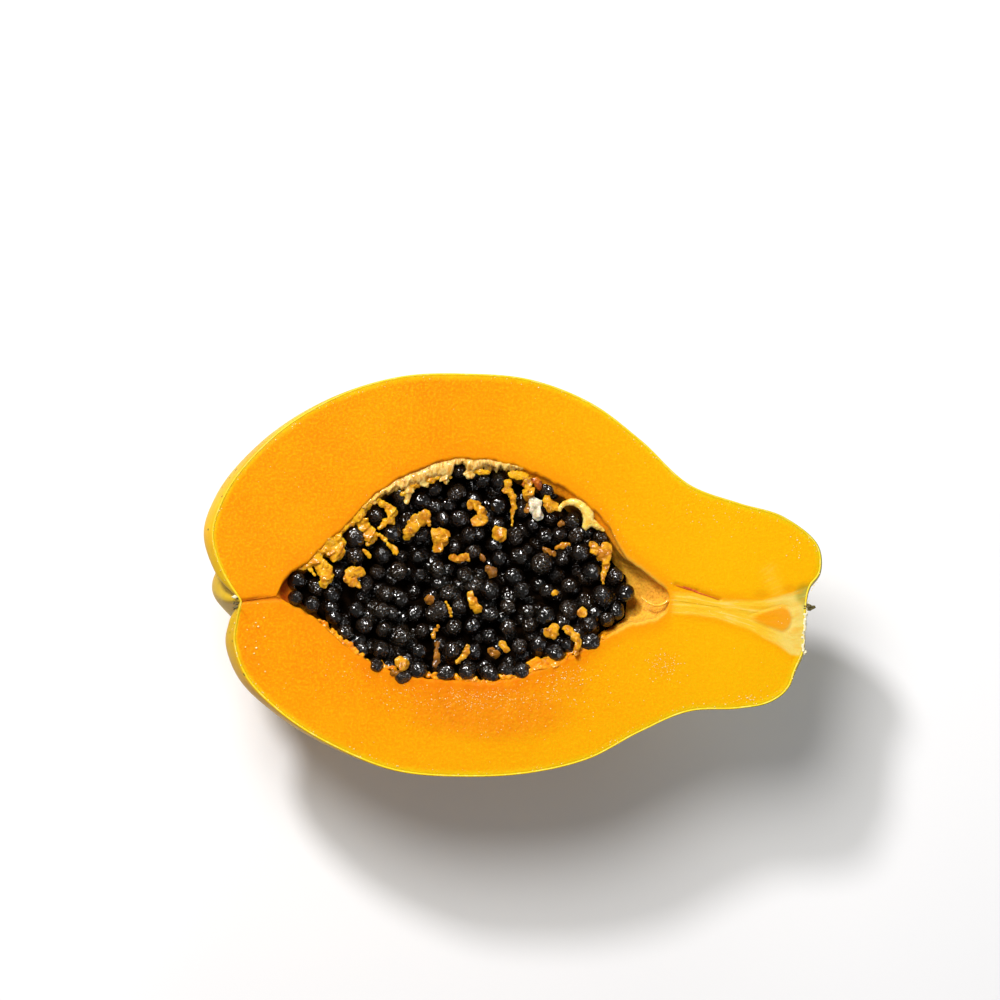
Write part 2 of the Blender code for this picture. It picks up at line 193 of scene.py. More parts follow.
# Creases, slits and scores in the cut face: start, end, width, depth and stain. The stain darkens the
# flesh round each groove and is partly real stain and partly painted shade in the groove.
GROOVES = (
    ((0.0, 0.0), (11.0, 1.2), 0.55, 0.50, 0.45),
    ((0.4, -2.8), (3.4, -6.7), 0.40, 0.22, 0.20),
    ((123.6, 8.6), (129.8, 7.0), 0.50, 0.60, 0.30),
    ((129.8, 7.0), (136.4, 4.8), 0.45, 0.50, 0.25),
    ((56.2, -25.1), (58.9, -28.2), 0.40, 0.20, 0.16),
    ((58.9, -28.2), (61.3, -32.6), 0.40, 0.20, 0.16),
)

# The pale core between the hollow and the stem: place along the fruit, upper edge, lower edge.
CORE = (
    (121.0, 6.6, 0.4),
    (128.5, 6.3, 0.5),
    (135.7, 4.8, -0.4),
    (144.8, 4.8, -3.2),
    (149.5, 5.2, -5.4),
    (153.4, 6.3, -7.3),
    (157.2, 7.4, -9.9),
    (163.0, 9.8, -10.6),
)
CORE_FROM_X = (121.5, 124.5)
CORE_EDGE = 0.55
VEIN_LENGTH = 9.0
VEINS_ACROSS = 8.0
CORE_FIBRES = 7.0
CORE_FIBRE_LENGTH = 14.0
CORE_FIBRE_DEPTH = 0.07
TORN_DEPTH = 0.13
TORN_SIZE = 1.1
TORN_STREAK = (1.3, 5.0)
TEARDROP_MIDDLE = (154.4, 0.0)
TEARDROP_TAIL, TEARDROP_HEAD, TEARDROP_HEIGHT = 9.4, 3.2, 4.0
TEARDROP_TAPER = 0.9
TEARDROP_RISE = 0.12
TEARDROP_FURROW = 0.10

# Parts of the teardrop by their reach, which is 1 on its edge.
TEARDROP_CROWN = (0.7, 0.95)
TEARDROP_TONE = (0.68, 1.05)
TEARDROP_FIBRES_FROM = (0.9, 1.1)
TEARDROP_FURROW_AT, TEARDROP_FURROW_WIDTH = 1.02, 0.1
BRANCH = ((153.6, 6.0), (150.6, 13.4))
BRANCH_WIDTH = 1.9

# Spots of the cut face: middle, half size and how strong. A spot fades between these two shares of
# its half size.
SPOT_EDGE = (0.45, 1.15)
WET_SPOTS = (
    ((72.0, -28.5), (26.0, 9.5), 1.0),
    ((120.8, -14.3), (4.5, 4.0), 0.22),
    ((92.0, -21.0), (8.0, 5.0), 0.5),
    ((4.0, -14.0), (4.0, 8.0), 0.25),
)
GREEN_SPOTS = (
    ((160.9, 7.2), (3.2, 3.6), 1.0),
    ((161.6, -9.0), (1.4, 1.6), 0.7),
)
STAINS = (
    ((5.6, 1.1), (3.4, 1.3), 0.30),
    ((148.2, 7.0), (2.6, 1.6), 0.16),
    ((156.4, 8.9), (2.2, 1.5), 0.16),
)


def smooth_between(low, high, value):
    """0 below low, 1 above high and a smooth rise between."""
    share = np.clip((value - low) / (high - low), 0.0, 1.0)
    return share * share * (3.0 - 2.0 * share)


def within(value, stretch):
    """0 outside a stretch of four ends, 1 between the middle two, and smooth between the others."""
    rise_from, rise_to, fall_from, fall_to = stretch
    rise = smooth_between(rise_from, rise_to, value)
    return rise * (1 - smooth_between(fall_from, fall_to, value))


def read_off(table, x, *columns):
    """Values of some columns of a table at places along its first column, on straight lines."""
    table = np.array(table, float)
    return [np.interp(x, table[:, 0], table[:, column]) for column in columns]


def along_rows(rows, station):
    """A smooth curve through the rows of a table, at a station counted from 0."""
    table = np.array(rows, float)
    last = len(table) - 1
    index = int(min(max(math.floor(station), 0), last - 1))
    steps = np.linalg.norm(np.diff(table, axis=0), axis=1)
    slopes = np.diff(table, axis=0) / steps[:, None]

    def tangent(k):
        if k in (0, last):
            return slopes[min(k, last - 1)]
        before, after = steps[k - 1], steps[k]
        return (before * slopes[k] + after * slopes[k - 1]) / (before + after)

    share = station - index
    length = steps[index]
    start, end = table[index], table[index + 1]
    out, into = tangent(index) * length, tangent(index + 1) * length
    return (
        (2 * share**3 - 3 * share**2 + 1) * start
        + (share**3 - 2 * share**2 + share) * out
        + (3 * share**2 - 2 * share**3) * end
        + (share**3 - share**2) * into
    )


def noise_at(points, size, shift=0.0):
    """Smooth noise between -1 and 1 at an array of points, with lumps of about a size.

    A shift picks another part of the same noise, so that two of them don't look alike.
    """
    flat = np.asarray(points, float).reshape(-1, 3) / size + shift
    values = np.array([noise.noise(Vector(point)) for point in flat])
    return values.reshape(np.asarray(points).shape[:-1])


def from_line(points, start, end):
    """Distance of points on the cut face from a straight line between two places."""
    start, run = np.array(start), np.array(end) - np.array(start)
    share = np.clip(((points[..., :2] - start) @ run) / (run @ run), 0.0, 1.0)
    return np.linalg.norm(points[..., :2] - start - share[..., None] * run, axis=-1)


def spots(points, rows):
    """How far inside any of some oval spots the points are, from 0 to each spot's strength."""
    found = np.zeros(points.shape[:-1])
    for middle, size, strength in rows:
        reach = np.linalg.norm((points[..., :2] - middle) / size, axis=-1)
        found = np.maximum(found, strength * (1 - smooth_between(*SPOT_EDGE, reach)))
    return found


def carpel_ridge(angle):
    """Rounded lobes between sharp creases, 0 at both edges of the cut."""
    phase = CARPELS / 2 * (angle - FIRST_LOBE_ANGLE)
    return np.abs(np.cos(phase)) - math.cos(CARPELS / 2 * FIRST_LOBE_ANGLE)


def skin_ring(station, angle):
    """Points of the skin. The angle is 0 at the upper cut edge and pi at the lower one."""
    upper_x, upper_y, lower_x, lower_y, depth = along_rows(OUTLINE, station)
    across = np.cos(angle)
    x = (upper_x + lower_x) / 2 + (upper_x - lower_x) / 2 * across
    y = (upper_y + lower_y) / 2 + (upper_y - lower_y) / 2 * across
    points = np.stack((x, y, -depth * np.sin(angle)), axis=1)
    ridge = carpel_ridge(angle)[:, None]
    blossom = BLOSSOM_LOBE_DEPTH * within(station, BLOSSOM_LOBE_STATIONS)
    belly = BELLY_LOBE_DEPTH * within(station, BELLY_LOBE_STATIONS)
    stem = STEM_LOBE_DEPTH * within(station, STEM_LOBE_STATIONS)
    for centre, swell in ((BLOSSOM_LOBE_CENTRE, blossom + belly), (STEM_LOBE_CENTRE, stem)):
        middle = np.array((*centre, 0.0))
        points = middle + (points - middle) * (1 + ridge * swell)
    short, long = UNEVENNESS_LENGTHS
    wave = np.sin(points[:, 0] / short + 2 * angle) + np.sin(points[:, 0] / long - 3 * angle + 1)
    uneven = UNEVENNESS * within(station, UNEVENNESS_STATIONS)
    points[:, 2] -= uneven * wave * np.sin(angle) ** 2
    return points


def skin_rings(steps, inset):
    """Rings of points on the skin, or inset under it, with the flat spot that it rests on."""
    angles = np.linspace(0.0, math.pi, steps + 1)
    rings = np.array([skin_ring(station, angles) for station in STATIONS])
    outward = np.cross(np.gradient(rings, axis=0), np.gradient(rings, axis=1))
    outward[:, (0, -1), 2] = 0.0
    outward[0], outward[-1] = (-1.0, 0.0, 0.0), (1.0, 0.0, 0.0)
    rings -= inset * outward / np.linalg.norm(outward, axis=2, keepdims=True)
    rings[:, :, 2] = np.maximum(rings[:, :, 2], REST_Z + inset)
    return rings


SMOOTH_HOLLOW = np.array([
    along_rows(HOLLOW, row) for row in np.linspace(0, len(HOLLOW) - 1, HOLLOW_SAMPLES)
])


def hollow_edges(x):
    """Middle, half width and depth of the smooth hollow at a place along the fruit."""
    upper, lower, depth = read_off(SMOOTH_HOLLOW, x, 1, 2, 3)
    return (upper + lower) / 2, (upper - lower) / 2, depth


def spine_point(station):
    """Point at a station of the line that runs from scar to scar through the hollow's two tips."""
    tip, tail = np.array((*HOLLOW[0][:2], 0.0)), np.array((*HOLLOW[-1][:2], 0.0))
    scar = np.array((OUTLINE[-1][0], 0.0, 0.0))
    if station <= HOLLOW_FIRST_STATION:
        return tip * (station / HOLLOW_FIRST_STATION)
    if station >= HOLLOW_LAST_STATION:
        share = (station - HOLLOW_LAST_STATION) / (len(OUTLINE) - 1 - HOLLOW_LAST_STATION)
        return tail + (scar - tail) * share
    rows = [along_rows(OUTLINE, at) for at in (station, HOLLOW_FIRST_STATION, HOLLOW_LAST_STATION)]
    here, first, last = (row[0] + row[2] for row in rows)
    return tip + (tail - tip) * ((here - first) / (last - first))


def wall_ring(x, middle, half, depth, opened, angles):
    """One ring of the hollow's wall, with its rim rounded and torn and its side lumpy."""
    across, down = np.cos(angles), np.sin(angles)
    y = middle + half * across
    overhang = LOWER_RIM_OVERHANG * smooth_between(*OVERHANG_HALF_WIDTHS, half)
    y += overhang * np.clip(-across, 0.0, None) ** 2
    shelf = SHELF_WIDTH * within(x, SHELF_STRETCH)
    y -= shelf * smooth_between(*SHELF_FROM, down) * np.clip(across, 0.0, None)
    along = np.full_like(y, x)
    sides = np.stack((along, np.sign(across) * RIM_NOISE_APART, y * 0), axis=1)
    ragged = noise_at(sides, RIM_RAGGED_SIZE) + RIM_FRAYING * noise_at(sides, RIM_FRAYED_SIZE)
    y += RIM_RAGGEDNESS * opened * ragged * across * np.abs(across)
    rounding = RIM_ROUNDING * opened
    ring = np.stack((along, y, -rounding - np.maximum(depth - rounding, LEAST_WALL) * down), axis=1)
    lumps = WALL_LUMPS * noise_at(ring, WALL_LUMP_SIZE, 3.7)
    lumps += WALL_GRAIN * noise_at(ring, WALL_GRAIN_SIZE, 1.9)
    inward = np.stack((y * 0, -across, down), axis=1)
    return ring + inward * (opened * lumps * smooth_between(*WALL_RELIEF_FROM, down))[:, None]


def hollow_rings():
    """Rings of points on the hollow's wall, and how open the hollow is at each ring.

    Towards both ends, where the hollow has closed, a ring is one point of the spine.
    """
    shares = np.linspace(0.0, 1.0, HOLLOW_STEPS + 1)
    angles = math.pi * (shares - WALL_STEP_CROWDING * np.sin(2 * math.pi * shares))
    rings, openness = [], []
    for station in STATIONS:
        point = spine_point(station)
        middle, half, depth = hollow_edges(point[0])
        closed = min(half, depth) < CLOSED_HOLLOW
        opened = 0.0 if closed else float(smooth_between(*OPENING_HALF_WIDTHS, half))
        openness.append(opened)
        if closed:
            rings.append(np.tile(point, (HOLLOW_STEPS + 1, 1)))
        else:
            rings.append(wall_ring(point[0], middle, half, depth, opened, angles))
    return np.array(rings), np.array(openness)


def core_share(points):
    """Place across the pale core, 0 at its lower edge and 1 at its upper, and how far inside."""
    x, y = points[..., 0], points[..., 1]
    upper, lower = read_off(CORE, x, 1, 2)
    inside = smooth_between(-CORE_EDGE, CORE_EDGE, np.minimum(upper - y, y - lower))
    return (y - lower) / (upper - lower), inside * smooth_between(*CORE_FROM_X, x)


def teardrop_reach(points):
    """Distance from the middle of the orange teardrop in the core, 1 on its edge."""
    along, across = (points[..., k] - TEARDROP_MIDDLE[k] for k in (0, 1))
    tail = np.clip(-along / TEARDROP_TAIL, 0.0, None)
    head = np.clip(along / TEARDROP_HEAD, 0.0, None)
    return np.hypot(tail + head, across / TEARDROP_HEIGHT * (1 + TEARDROP_TAPER * tail))


def face_height(points, from_hollow, openness):
    """Height of the cut face over the plane of the cut, where it is rounded, torn or scored."""
    height = KNIFE_WAVE * noise_at(points, KNIFE_WAVE_SIZE, 1.3)
    for start, end, width, depth, _ in GROOVES:
        height -= depth * np.exp(-((from_line(points, start, end) / width) ** 2))
    across, inside = core_share(points)
    x, y = points[..., 0], points[..., 1]
    fibres = np.stack((x / CORE_FIBRE_LENGTH, across * CORE_FIBRES, x * 0), axis=-1)
    drop = teardrop_reach(points)
    inside = inside * smooth_between(*TEARDROP_FIBRES_FROM, drop)
    height += CORE_FIBRE_DEPTH * inside * (noise_at(fibres, 1.0, 5.1) - 0.5)
    height += TEARDROP_RISE * (1 - smooth_between(*TEARDROP_CROWN, drop))
    from_furrow = (drop - TEARDROP_FURROW_AT) / TEARDROP_FURROW_WIDTH
    height -= TEARDROP_FURROW * np.exp(-(from_furrow**2))
    streaks = np.stack((x / TORN_STREAK[0], y / TORN_STREAK[1], x * 0), axis=-1)
    torn = noise_at(points, TORN_SIZE, 8.2) + noise_at(streaks, 1.0, 2.6)
    height += TORN_DEPTH * spots(points, WET_SPOTS) * torn
    rounding = RIM_ROUNDING * openness[:, None]
    away = np.clip(rounding - from_hollow, 0.0, None)
    height -= rounding - np.sqrt(np.maximum(rounding**2 - away**2, 0.0))
    return height


# Making pieces

def closed_sheet(rings, attributes=None):
    """A closed sheet through rings of points, wrapped round and drawn together at both ends."""
    along, around = rings.shape[0] - 1, rings.shape[1] - 1
    bm = bmesh.new()
    layers = {name: bm.verts.layers.float.new(name) for name in attributes or {}}
    bmesh.ops.create_grid(bm, x_segments=around, y_segments=along, size=1.0)
    for vert in bm.verts:
        column = round((vert.co.x + 1) / 2 * around)
        row = round((vert.co.y + 1) / 2 * along)
        vert.co = rings[row, column]
        for name, layer in layers.items():
            vert[layer] = attributes[name][row, column]
    bmesh.ops.remove_doubles(bm, verts=bm.verts, dist=MERGE_DISTANCE)
    bmesh.ops.dissolve_degenerate(bm, dist=MERGE_DISTANCE, edges=bm.edges)
    bmesh.ops.recalc_face_normals(bm, faces=bm.faces)
    return bm


def close_ends(rings):
    """Rings whose first and last are each drawn together into one point."""
    rings = np.array(rings)
    for end in (0, -1):
        rings[end] = rings[end].mean(axis=0)
    return rings


def finished_mesh(name, bm):
    """The mesh of a bmesh, which is freed."""
    mesh = bpy.data.meshes.new(name)
    bm.to_mesh(mesh)
    bm.free()
    return mesh


def new_object(name, data):
    """An object in the scene for a mesh, a curve, a lamp or a camera."""
    made = bpy.data.objects.new(name, data)
    bpy.context.scene.collection.objects.link(made)
    return made


def new_piece(name, bm, material, slot, *stands_for):
    """A piece in the part's frame from a bmesh in millimetres, riding on the fruit."""
    bmesh.ops.scale(bm, vec=(MM, MM, MM), verts=bm.verts)
    bmesh.ops.translate(bm, vec=TO_FRAME, verts=bm.verts)
    mesh = finished_mesh(name, bm)
    mesh.shade_smooth()
    mesh.materials.append(material)
    piece = new_object(name, mesh)
    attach(piece, "root")
    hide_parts(*stands_for)
    return piece


def add_mesh(bm, mesh):
    """Adds a mesh to a bmesh, and gives the vertices that it brought."""
    before = len(bm.verts)
    bm.from_mesh(mesh)
    bm.verts.ensure_lookup_table()
    return bm.verts[before:]


def put(bm, verts, size, turn, place):
    """Stretches vertices about their middle by a size, turns them and moves them to a place."""
    bmesh.ops.scale(bm, vec=size, verts=verts)
    bmesh.ops.rotate(bm, cent=(0, 0, 0), matrix=Euler(turn).to_matrix(), verts=verts)
    bmesh.ops.translate(bm, vec=place, verts=verts)


def add_relief(piece, size, height):
    """Raises and sinks a piece's surface in clouds of a size, by up to half a height each way."""
    clouds = bpy.data.textures.new(f"{piece.name} relief", "CLOUDS")
    clouds.noise_scale = size * MM
    clouds.noise_depth = 1
    relief = piece.modifiers.new("relief", "DISPLACE")
    relief.texture = clouds
    relief.texture_coords = "LOCAL"
    relief.strength = height * MM
    relief.mid_level = 0.5


# The noise vectors that bend the strands follow this seed, in bends of these sizes.
STRAND_SEED = 5
STRAND_BENDS = (0.9, 0.35)

# Noises on the ball that a torn lump starts as: how close its swells come, and how strong it is.
LUMP_TEARS = ((1.5, 1.0), (3.4, 0.45))
LUMP_GRAINS = ((8.0, 1.0), (17.0, 0.6))


def add_strand(bm, points, radii, roughness=0.0):
    """Adds a string of pulp or fibre through the points, with a radius at each of them."""
    curve = bpy.data.curves.new("strand", "CURVE")
    curve.dimensions = "3D"
    curve.bevel_depth = 1.0
    curve.bevel_resolution = 3
    curve.use_fill_caps = True
    spline = curve.splines.new("NURBS")
    spline.points.add(len(points) - 1)
    for control, place, radius in zip(spline.points, points, radii):
        control.co = (*place, 1.0)
        control.radius = radius
    spline.use_endpoint_u = True
    spline.order_u = min(4, len(points))
    spline.resolution_u = 8
    holder = new_object("strand", curve)
    graph = bpy.context.evaluated_depsgraph_get()
    mesh = bpy.data.meshes.new_from_object(holder.evaluated_get(graph))
    bpy.data.objects.remove(holder, do_unlink=True)
    bpy.data.curves.remove(curve)
    for vert in add_mesh(bm, mesh):
        slow, quick = (noise.noise_vector(vert.co / size) for size in STRAND_BENDS)
        vert.co += roughness * (slow + 0.5 * quick)
    bpy.data.meshes.remove(mesh)


def add_lump(bm, place, size, turn=(0.0, 0.0, 0.0), torn=0.42, grain=0.10, detail=4):
    """Adds a torn lump of pulp: an uneven ball, stretched, turned and put in place."""
    made = bmesh.ops.create_icosphere(bm, subdivisions=detail, radius=1.0)["verts"]
    own = Vector(place)
    for vert in made:
        way = vert.co.normalized()
        coarse, fine = (sum(strength * noise.noise(way * pace + own) for pace, strength in noises)
                        for noises in (LUMP_TEARS, LUMP_GRAINS))
        vert.co = way * (1 + torn * coarse + grain * fine)
    put(bm, made, [length / 2 for length in size], turn, place)


def sunk(x, y, z):
    """The point at a depth that the camera sees at a place of the cut face."""
    eye = Vector((*VIEW_MIDDLE, 0.0)) + VIEW_BACK * VIEW_DISTANCE
    return eye + (Vector((x, y, 0.0)) - eye) * ((eye.z - z) / eye.z)


# Seeds and the bed that they lie in

# The packing is the part's own: the seeds are drawn at random and pushed apart in rounds.
SEED_DRAW = 20
SEED_COUNT = 400
SEED_RADIUS = (2.75, 3.35)
SEED_PACKING = 0.95
SEED_PACKING_ROUNDS = 240
SEED_PUSH = 0.24
NOT_ITSELF = 1000.0
SEED_SHAPE = (1.0, 0.9, 0.86)
SEED_DROP = 2.4
SEED_WALL_GAP = (0.4, 2.0)
SEED_WALL_REACH = 0.6
SEED_LEAST_ROOM = 0.3
SEED_CROWDING = 0.6
SEED_WRINKLE = 0.23
SEED_WRINKLE_SIZE = 1.2
SEED_CAGE_REACH = 1.12
SEED_POINTEDNESS = 0.12

# Each packed seed then lies a little out of its place and has its own size.
SEED_JITTER = 0.35
SEED_RISE = (-1.9, 0.6)
SEED_GROWTH = (0.88, 1.12)
TOP_SEED_RISE = (-0.8, 0.6)
TOP_SEED_FULLNESS = 1.12
SEED_LONGER = (1.0, 1.16)
# The top seeds that the photograph shows: place on the cut face and how wide each looks. They take
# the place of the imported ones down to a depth, and the narrow ones lie deeper.
TOP_SEEDS = (
    (15.8, 6.3, 6.0), (15.6, 1.4, 4.6), (20.3, -0.4, 5.1), (21.2, 4.7, 4.0), (25.9, 2.6, 5.7),
    (25.7, -1.1, 4.3), (26.6, -3.6, 4.6), (29.9, -7.8, 5.1), (32.6, -1.4, 5.4), (35.3, -5.6, 5.4),
    (33.4, -10.0, 4.0), (31.9, 18.8, 6.8), (32.0, 13.7, 6.0), (37.0, 25.8, 5.7), (39.4, 14.5, 5.7),
    (42.4, 20.3, 6.0), (44.3, 31.2, 4.8), (38.4, 9.6, 4.3), (35.2, 5.8, 4.3), (27.3, 9.2, 4.6),
    (40.0, -1.5, 5.1), (40.7, 3.4, 5.1), (45.0, 2.4, 5.1), (40.7, -6.8, 4.6), (42.6, -1.9, 4.0),
    (40.1, -12.3, 5.4), (38.8, -16.9, 4.8), (42.5, -17.1, 3.4), (46.6, -19.8, 4.6), (44.4, 10.1, 5.4),
    (34.4, -12.2, 3.4), (46.2, -8.9, 5.1), (50.3, 30.0, 5.7), (53.9, 33.8, 4.8), (60.2, 32.6, 5.1),
    (61.1, 38.9, 4.6), (54.0, 28.7, 3.4), (58.3, 29.1, 3.4), (56.4, 25.1, 4.6), (61.6, 25.2, 5.4),
    (66.8, 21.7, 4.0), (72.0, 29.3, 5.7), (72.2, 24.2, 4.0), (72.3, 36.5, 5.7), (67.5, 36.3, 4.6),
    (66.0, 38.0, 3.4), (77.4, 21.0, 5.1), (82.1, 24.3, 4.6), (49.7, 14.0, 4.8), (50.6, 20.3, 3.4),
    (50.2, 8.9, 4.6), (55.5, 10.8, 4.8), (60.1, 17.5, 3.1), (64.0, 20.5, 5.1), (65.3, 16.0, 4.6),
    (63.3, 9.6, 5.1), (71.5, 18.2, 4.0), (72.8, 14.2, 5.1), (78.7, 15.3, 5.1), (81.0, 16.8, 3.4),
    (85.1, 13.2, 6.8), (77.2, 9.5, 6.0), (79.7, 5.6, 5.1), (70.3, 5.0, 6.6), (58.6, 4.3, 4.8),
    (55.7, -1.2, 6.0), (62.2, 0.5, 4.8), (49.4, -1.7, 4.8), (60.6, -5.3, 4.3), (65.8, -4.8, 4.0),
    (70.8, -1.5, 5.4), (75.8, 0.7, 3.7), (76.0, -4.8, 4.8), (70.7, -7.8, 3.7), (51.6, -6.8, 4.3),
    (50.9, -12.5, 4.6), (60.3, -12.2, 6.3), (66.6, -12.2, 4.3), (51.1, -17.9, 6.0), (58.5, -18.5, 5.1),
    (64.8, -18.0, 5.4), (71.1, -18.1, 5.4), (76.2, -17.3, 5.1), (80.7, -17.1, 5.7), (79.4, -10.3, 4.3),
    (84.8, -9.9, 5.7), (82.3, -4.0, 3.4), (81.9, -0.3, 4.6), (85.8, 34.1, 5.1), (87.8, 33.9, 3.4),
    (93.8, 26.1, 5.1), (94.8, 21.8, 4.6), (89.9, 21.7, 4.8), (101.9, 21.2, 4.8), (96.1, 16.5, 6.0),
    (85.7, 21.2, 5.1), (87.5, 26.2, 4.3), (90.7, 15.4, 3.7), (99.4, 11.5, 6.0), (93.0, 7.5, 4.8),
    (102.8, 4.7, 6.0), (106.0, 10.5, 5.4), (109.0, 6.1, 5.7), (106.9, 0.9, 4.0), (104.2, -1.8, 4.6),
    (86.8, 5.6, 3.4), (93.2, 0.4, 5.7), (86.5, -1.3, 6.3), (99.1, -3.4, 5.1), (91.6, -2.8, 3.7),
    (99.5, -8.5, 5.7), (93.6, -9.6, 4.6), (89.4, -11.7, 5.7),
)
TOP_LAYER = 2.2
TOP_SEED_ROOM = 5.2
TOP_SEED_CROWDING = 0.64
NARROW_SEED = 4.4
NARROW_SEED_DROP = 1.7
BED_FIRST_X = 14.6
BED_LAST_X = 112.0
BED_END_RAGGEDNESS = 3.0
BED_RIM_DROP = 2.6
BED_TILT = 1.5
BED_MIDDLE_DIP = 3.6
BED_THICKNESS = 10.5

# The matted core lies under the second layer of seeds. Each of its bumps has a height, a size and
# a shift of its noise.
MAT_DROP = 5.8
MAT_TOP_SHARE = 0.75
MAT_WALL_GAP = 0.7
MAT_END_GAPS = (1.5, 1.0)
MAT_BUMPS = ((0.7, 2.6, 4.4), (0.35, 1.1, 6.0))
MAT_STEPS_ALONG = 150
MAT_STEPS_ACROSS = 40


def blunt_hollow(x):
    """Middle, half width and depth of the hollow between the rows of its table, with blunt ends."""
    places = [row[0] for row in HOLLOW]
    x = np.clip(x, places[0], places[-1])
    first, last = places[1] - places[0], places[-1] - places[-2]
    start = places[0] + first * np.sqrt((x - places[0]) / first)
    end = places[-1] - last * np.sqrt((places[-1] - x) / last)
    x = np.where(x < places[1], start, np.where(x > places[-2], end, x))
    upper, lower, depth = read_off(HOLLOW, x, 1, 2, 3)
    return (upper + lower) / 2, (upper - lower) / 2, depth


def bed_height(x, y):
    """How high the middles of the top seeds lie, below the cut face."""
    middle, half, _ = blunt_hollow(x)
    side = (y - middle) / np.maximum(half, 1.0)
    along = (x - (BED_FIRST_X + BED_LAST_X) / 2) / ((BED_LAST_X - BED_FIRST_X) / 2)
    openness = np.clip(1 - side * side, 0.0, None) * np.clip(1 - along * along, 0.0, None)
    return -BED_RIM_DROP - BED_TILT * side - BED_MIDDLE_DIP * openness


def keep_in_bed(places, radii, gaps, drops):
    """Moves seeds that have left the bed back into it."""
    x, y, z = places.T
    x = np.clip(x, BED_FIRST_X + gaps, BED_LAST_X - BED_END_RAGGEDNESS * gaps)
    top = bed_height(x, y)
    z = np.minimum(np.maximum(z, top - BED_THICKNESS), top - drops)
    room = radii * SEED_WALL_REACH
    rows = [blunt_hollow(x + step) for step in (-room, 0.0, room)]
    upper = np.min([middle + half for middle, half, _ in rows], axis=0)
    lower = np.max([middle - half for middle, half, _ in rows], axis=0)
    middle, half = (upper + lower) / 2, (upper - lower) / 2
    room = radii + np.where(y > middle, gaps, SEED_WALL_GAP[0])
    half = np.maximum(half - room, SEED_LEAST_ROOM)
    depth = np.maximum(np.min([row[2] for row in rows], axis=0) - radii, SEED_LEAST_ROOM)
    reach = np.maximum(np.hypot((y - middle) / half, z / depth), 1.0)
    return np.stack((x, middle + (y - middle) / reach, z / reach), axis=1)


def packed_seeds():
    """Places and radii of the seeds, pushed apart until they lie beside and on each other."""
    draw = np.random.RandomState(SEED_DRAW)
    radii = draw.uniform(*SEED_RADIUS, SEED_COUNT)
    drops = SEED_DROP * draw.uniform(0.0, 1.0, SEED_COUNT) ** 2
    gaps = draw.uniform(*SEED_WALL_GAP, SEED_COUNT)
    places = np.empty((SEED_COUNT, 3))
    lowest, highest = min(row[2] for row in HOLLOW), max(row[1] for row in HOLLOW)
    for index in range(SEED_COUNT):
        while True:
            x = draw.uniform(BED_FIRST_X, BED_LAST_X)
            y = draw.uniform(lowest, highest)
            z = bed_height(x, y) - draw.uniform(0.0, BED_THICKNESS)
            middle, half, depth = blunt_hollow(x)
            if math.hypot((y - middle) / half, z / depth) < 1:
                break
        places[index] = (x, y, z)
    contact = (radii[:, None] + radii[None, :]) * SEED_PACKING
    for _ in range(SEED_PACKING_ROUNDS):
        apart = places[:, None, :] - places[None, :, :]
        distance = np.linalg.norm(apart, axis=2) + np.eye(SEED_COUNT) * NOT_ITSELF
        push = np.clip(contact - distance, 0.0, None) / distance
        places += SEED_PUSH * (apart * push[:, :, None]).sum(axis=1)
        places = keep_in_bed(places, radii, gaps, drops)
    kept = []
    for index, place in enumerate(places):
        near = np.linalg.norm(places[kept] - place, axis=1) < contact[index, kept] * SEED_CROWDING
        if not near.any():
            kept.append(index)
    return places[kept], radii[kept]


def settled_seeds():
    """Places and sizes of the seeds: the top ones as seen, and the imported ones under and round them."""
    draw = np.random.RandomState(SEED_DRAW + 3)
    seen = np.array(TOP_SEEDS)
    narrow = seen[:, 2] < NARROW_SEED
    depths = bed_height(seen[:, 0], seen[:, 1]) + draw.uniform(*TOP_SEED_RISE, len(seen))
    depths -= NARROW_SEED_DROP * narrow
    top = np.array([sunk(x, y, z) for (x, y, _), z in zip(seen, depths)])
    top_radii = np.where(narrow, SEED_RADIUS[0], seen[:, 2] / 2 * TOP_SEED_FULLNESS)
    places, radii = packed_seeds()
    places[:, :2] += draw.normal(0.0, SEED_JITTER, (len(places), 2))
    places[:, 2] += draw.uniform(*SEED_RISE, len(places))
    apart = places[:, None, :] - top[None, :, :]
    room = (radii[:, None] + top_radii[None, :]) * TOP_SEED_CROWDING
    low = places[:, 2] < bed_height(places[:, 0], places[:, 1]) - TOP_LAYER
    alone = np.linalg.norm(apart[:, :, :2], axis=2).min(axis=1) > TOP_SEED_ROOM
    left = (np.linalg.norm(apart, axis=2) > room).all(axis=1) & (low | alone)
    radii = radii * draw.uniform(*SEED_GROWTH, len(radii))
    places, radii = np.concatenate((top, places[left])), np.concatenate((top_radii, radii[left]))
    sizes = radii[:, None] * np.array(SEED_SHAPE)
    sizes[:, 0] *= draw.uniform(*SEED_LONGER, len(radii))
    return places, sizes


def seed_cage():
    """One seed as a cage of two dozen faces: a ball that is a little more pointed at one end."""
    bm = bmesh.new()
    bmesh.ops.create_cube(bm, size=2.0)
    bmesh.ops.subdivide_edges(bm, edges=bm.edges, cuts=1, use_grid_fill=True)
    for vert in bm.verts:
        vert.co = vert.co.normalized() * SEED_CAGE_REACH
        narrowing = 1 - SEED_POINTEDNESS * vert.co.x
        vert.co = Vector((vert.co.x, vert.co.y * narrowing, vert.co.z * narrowing))
    return finished_mesh("seed cage", bm)


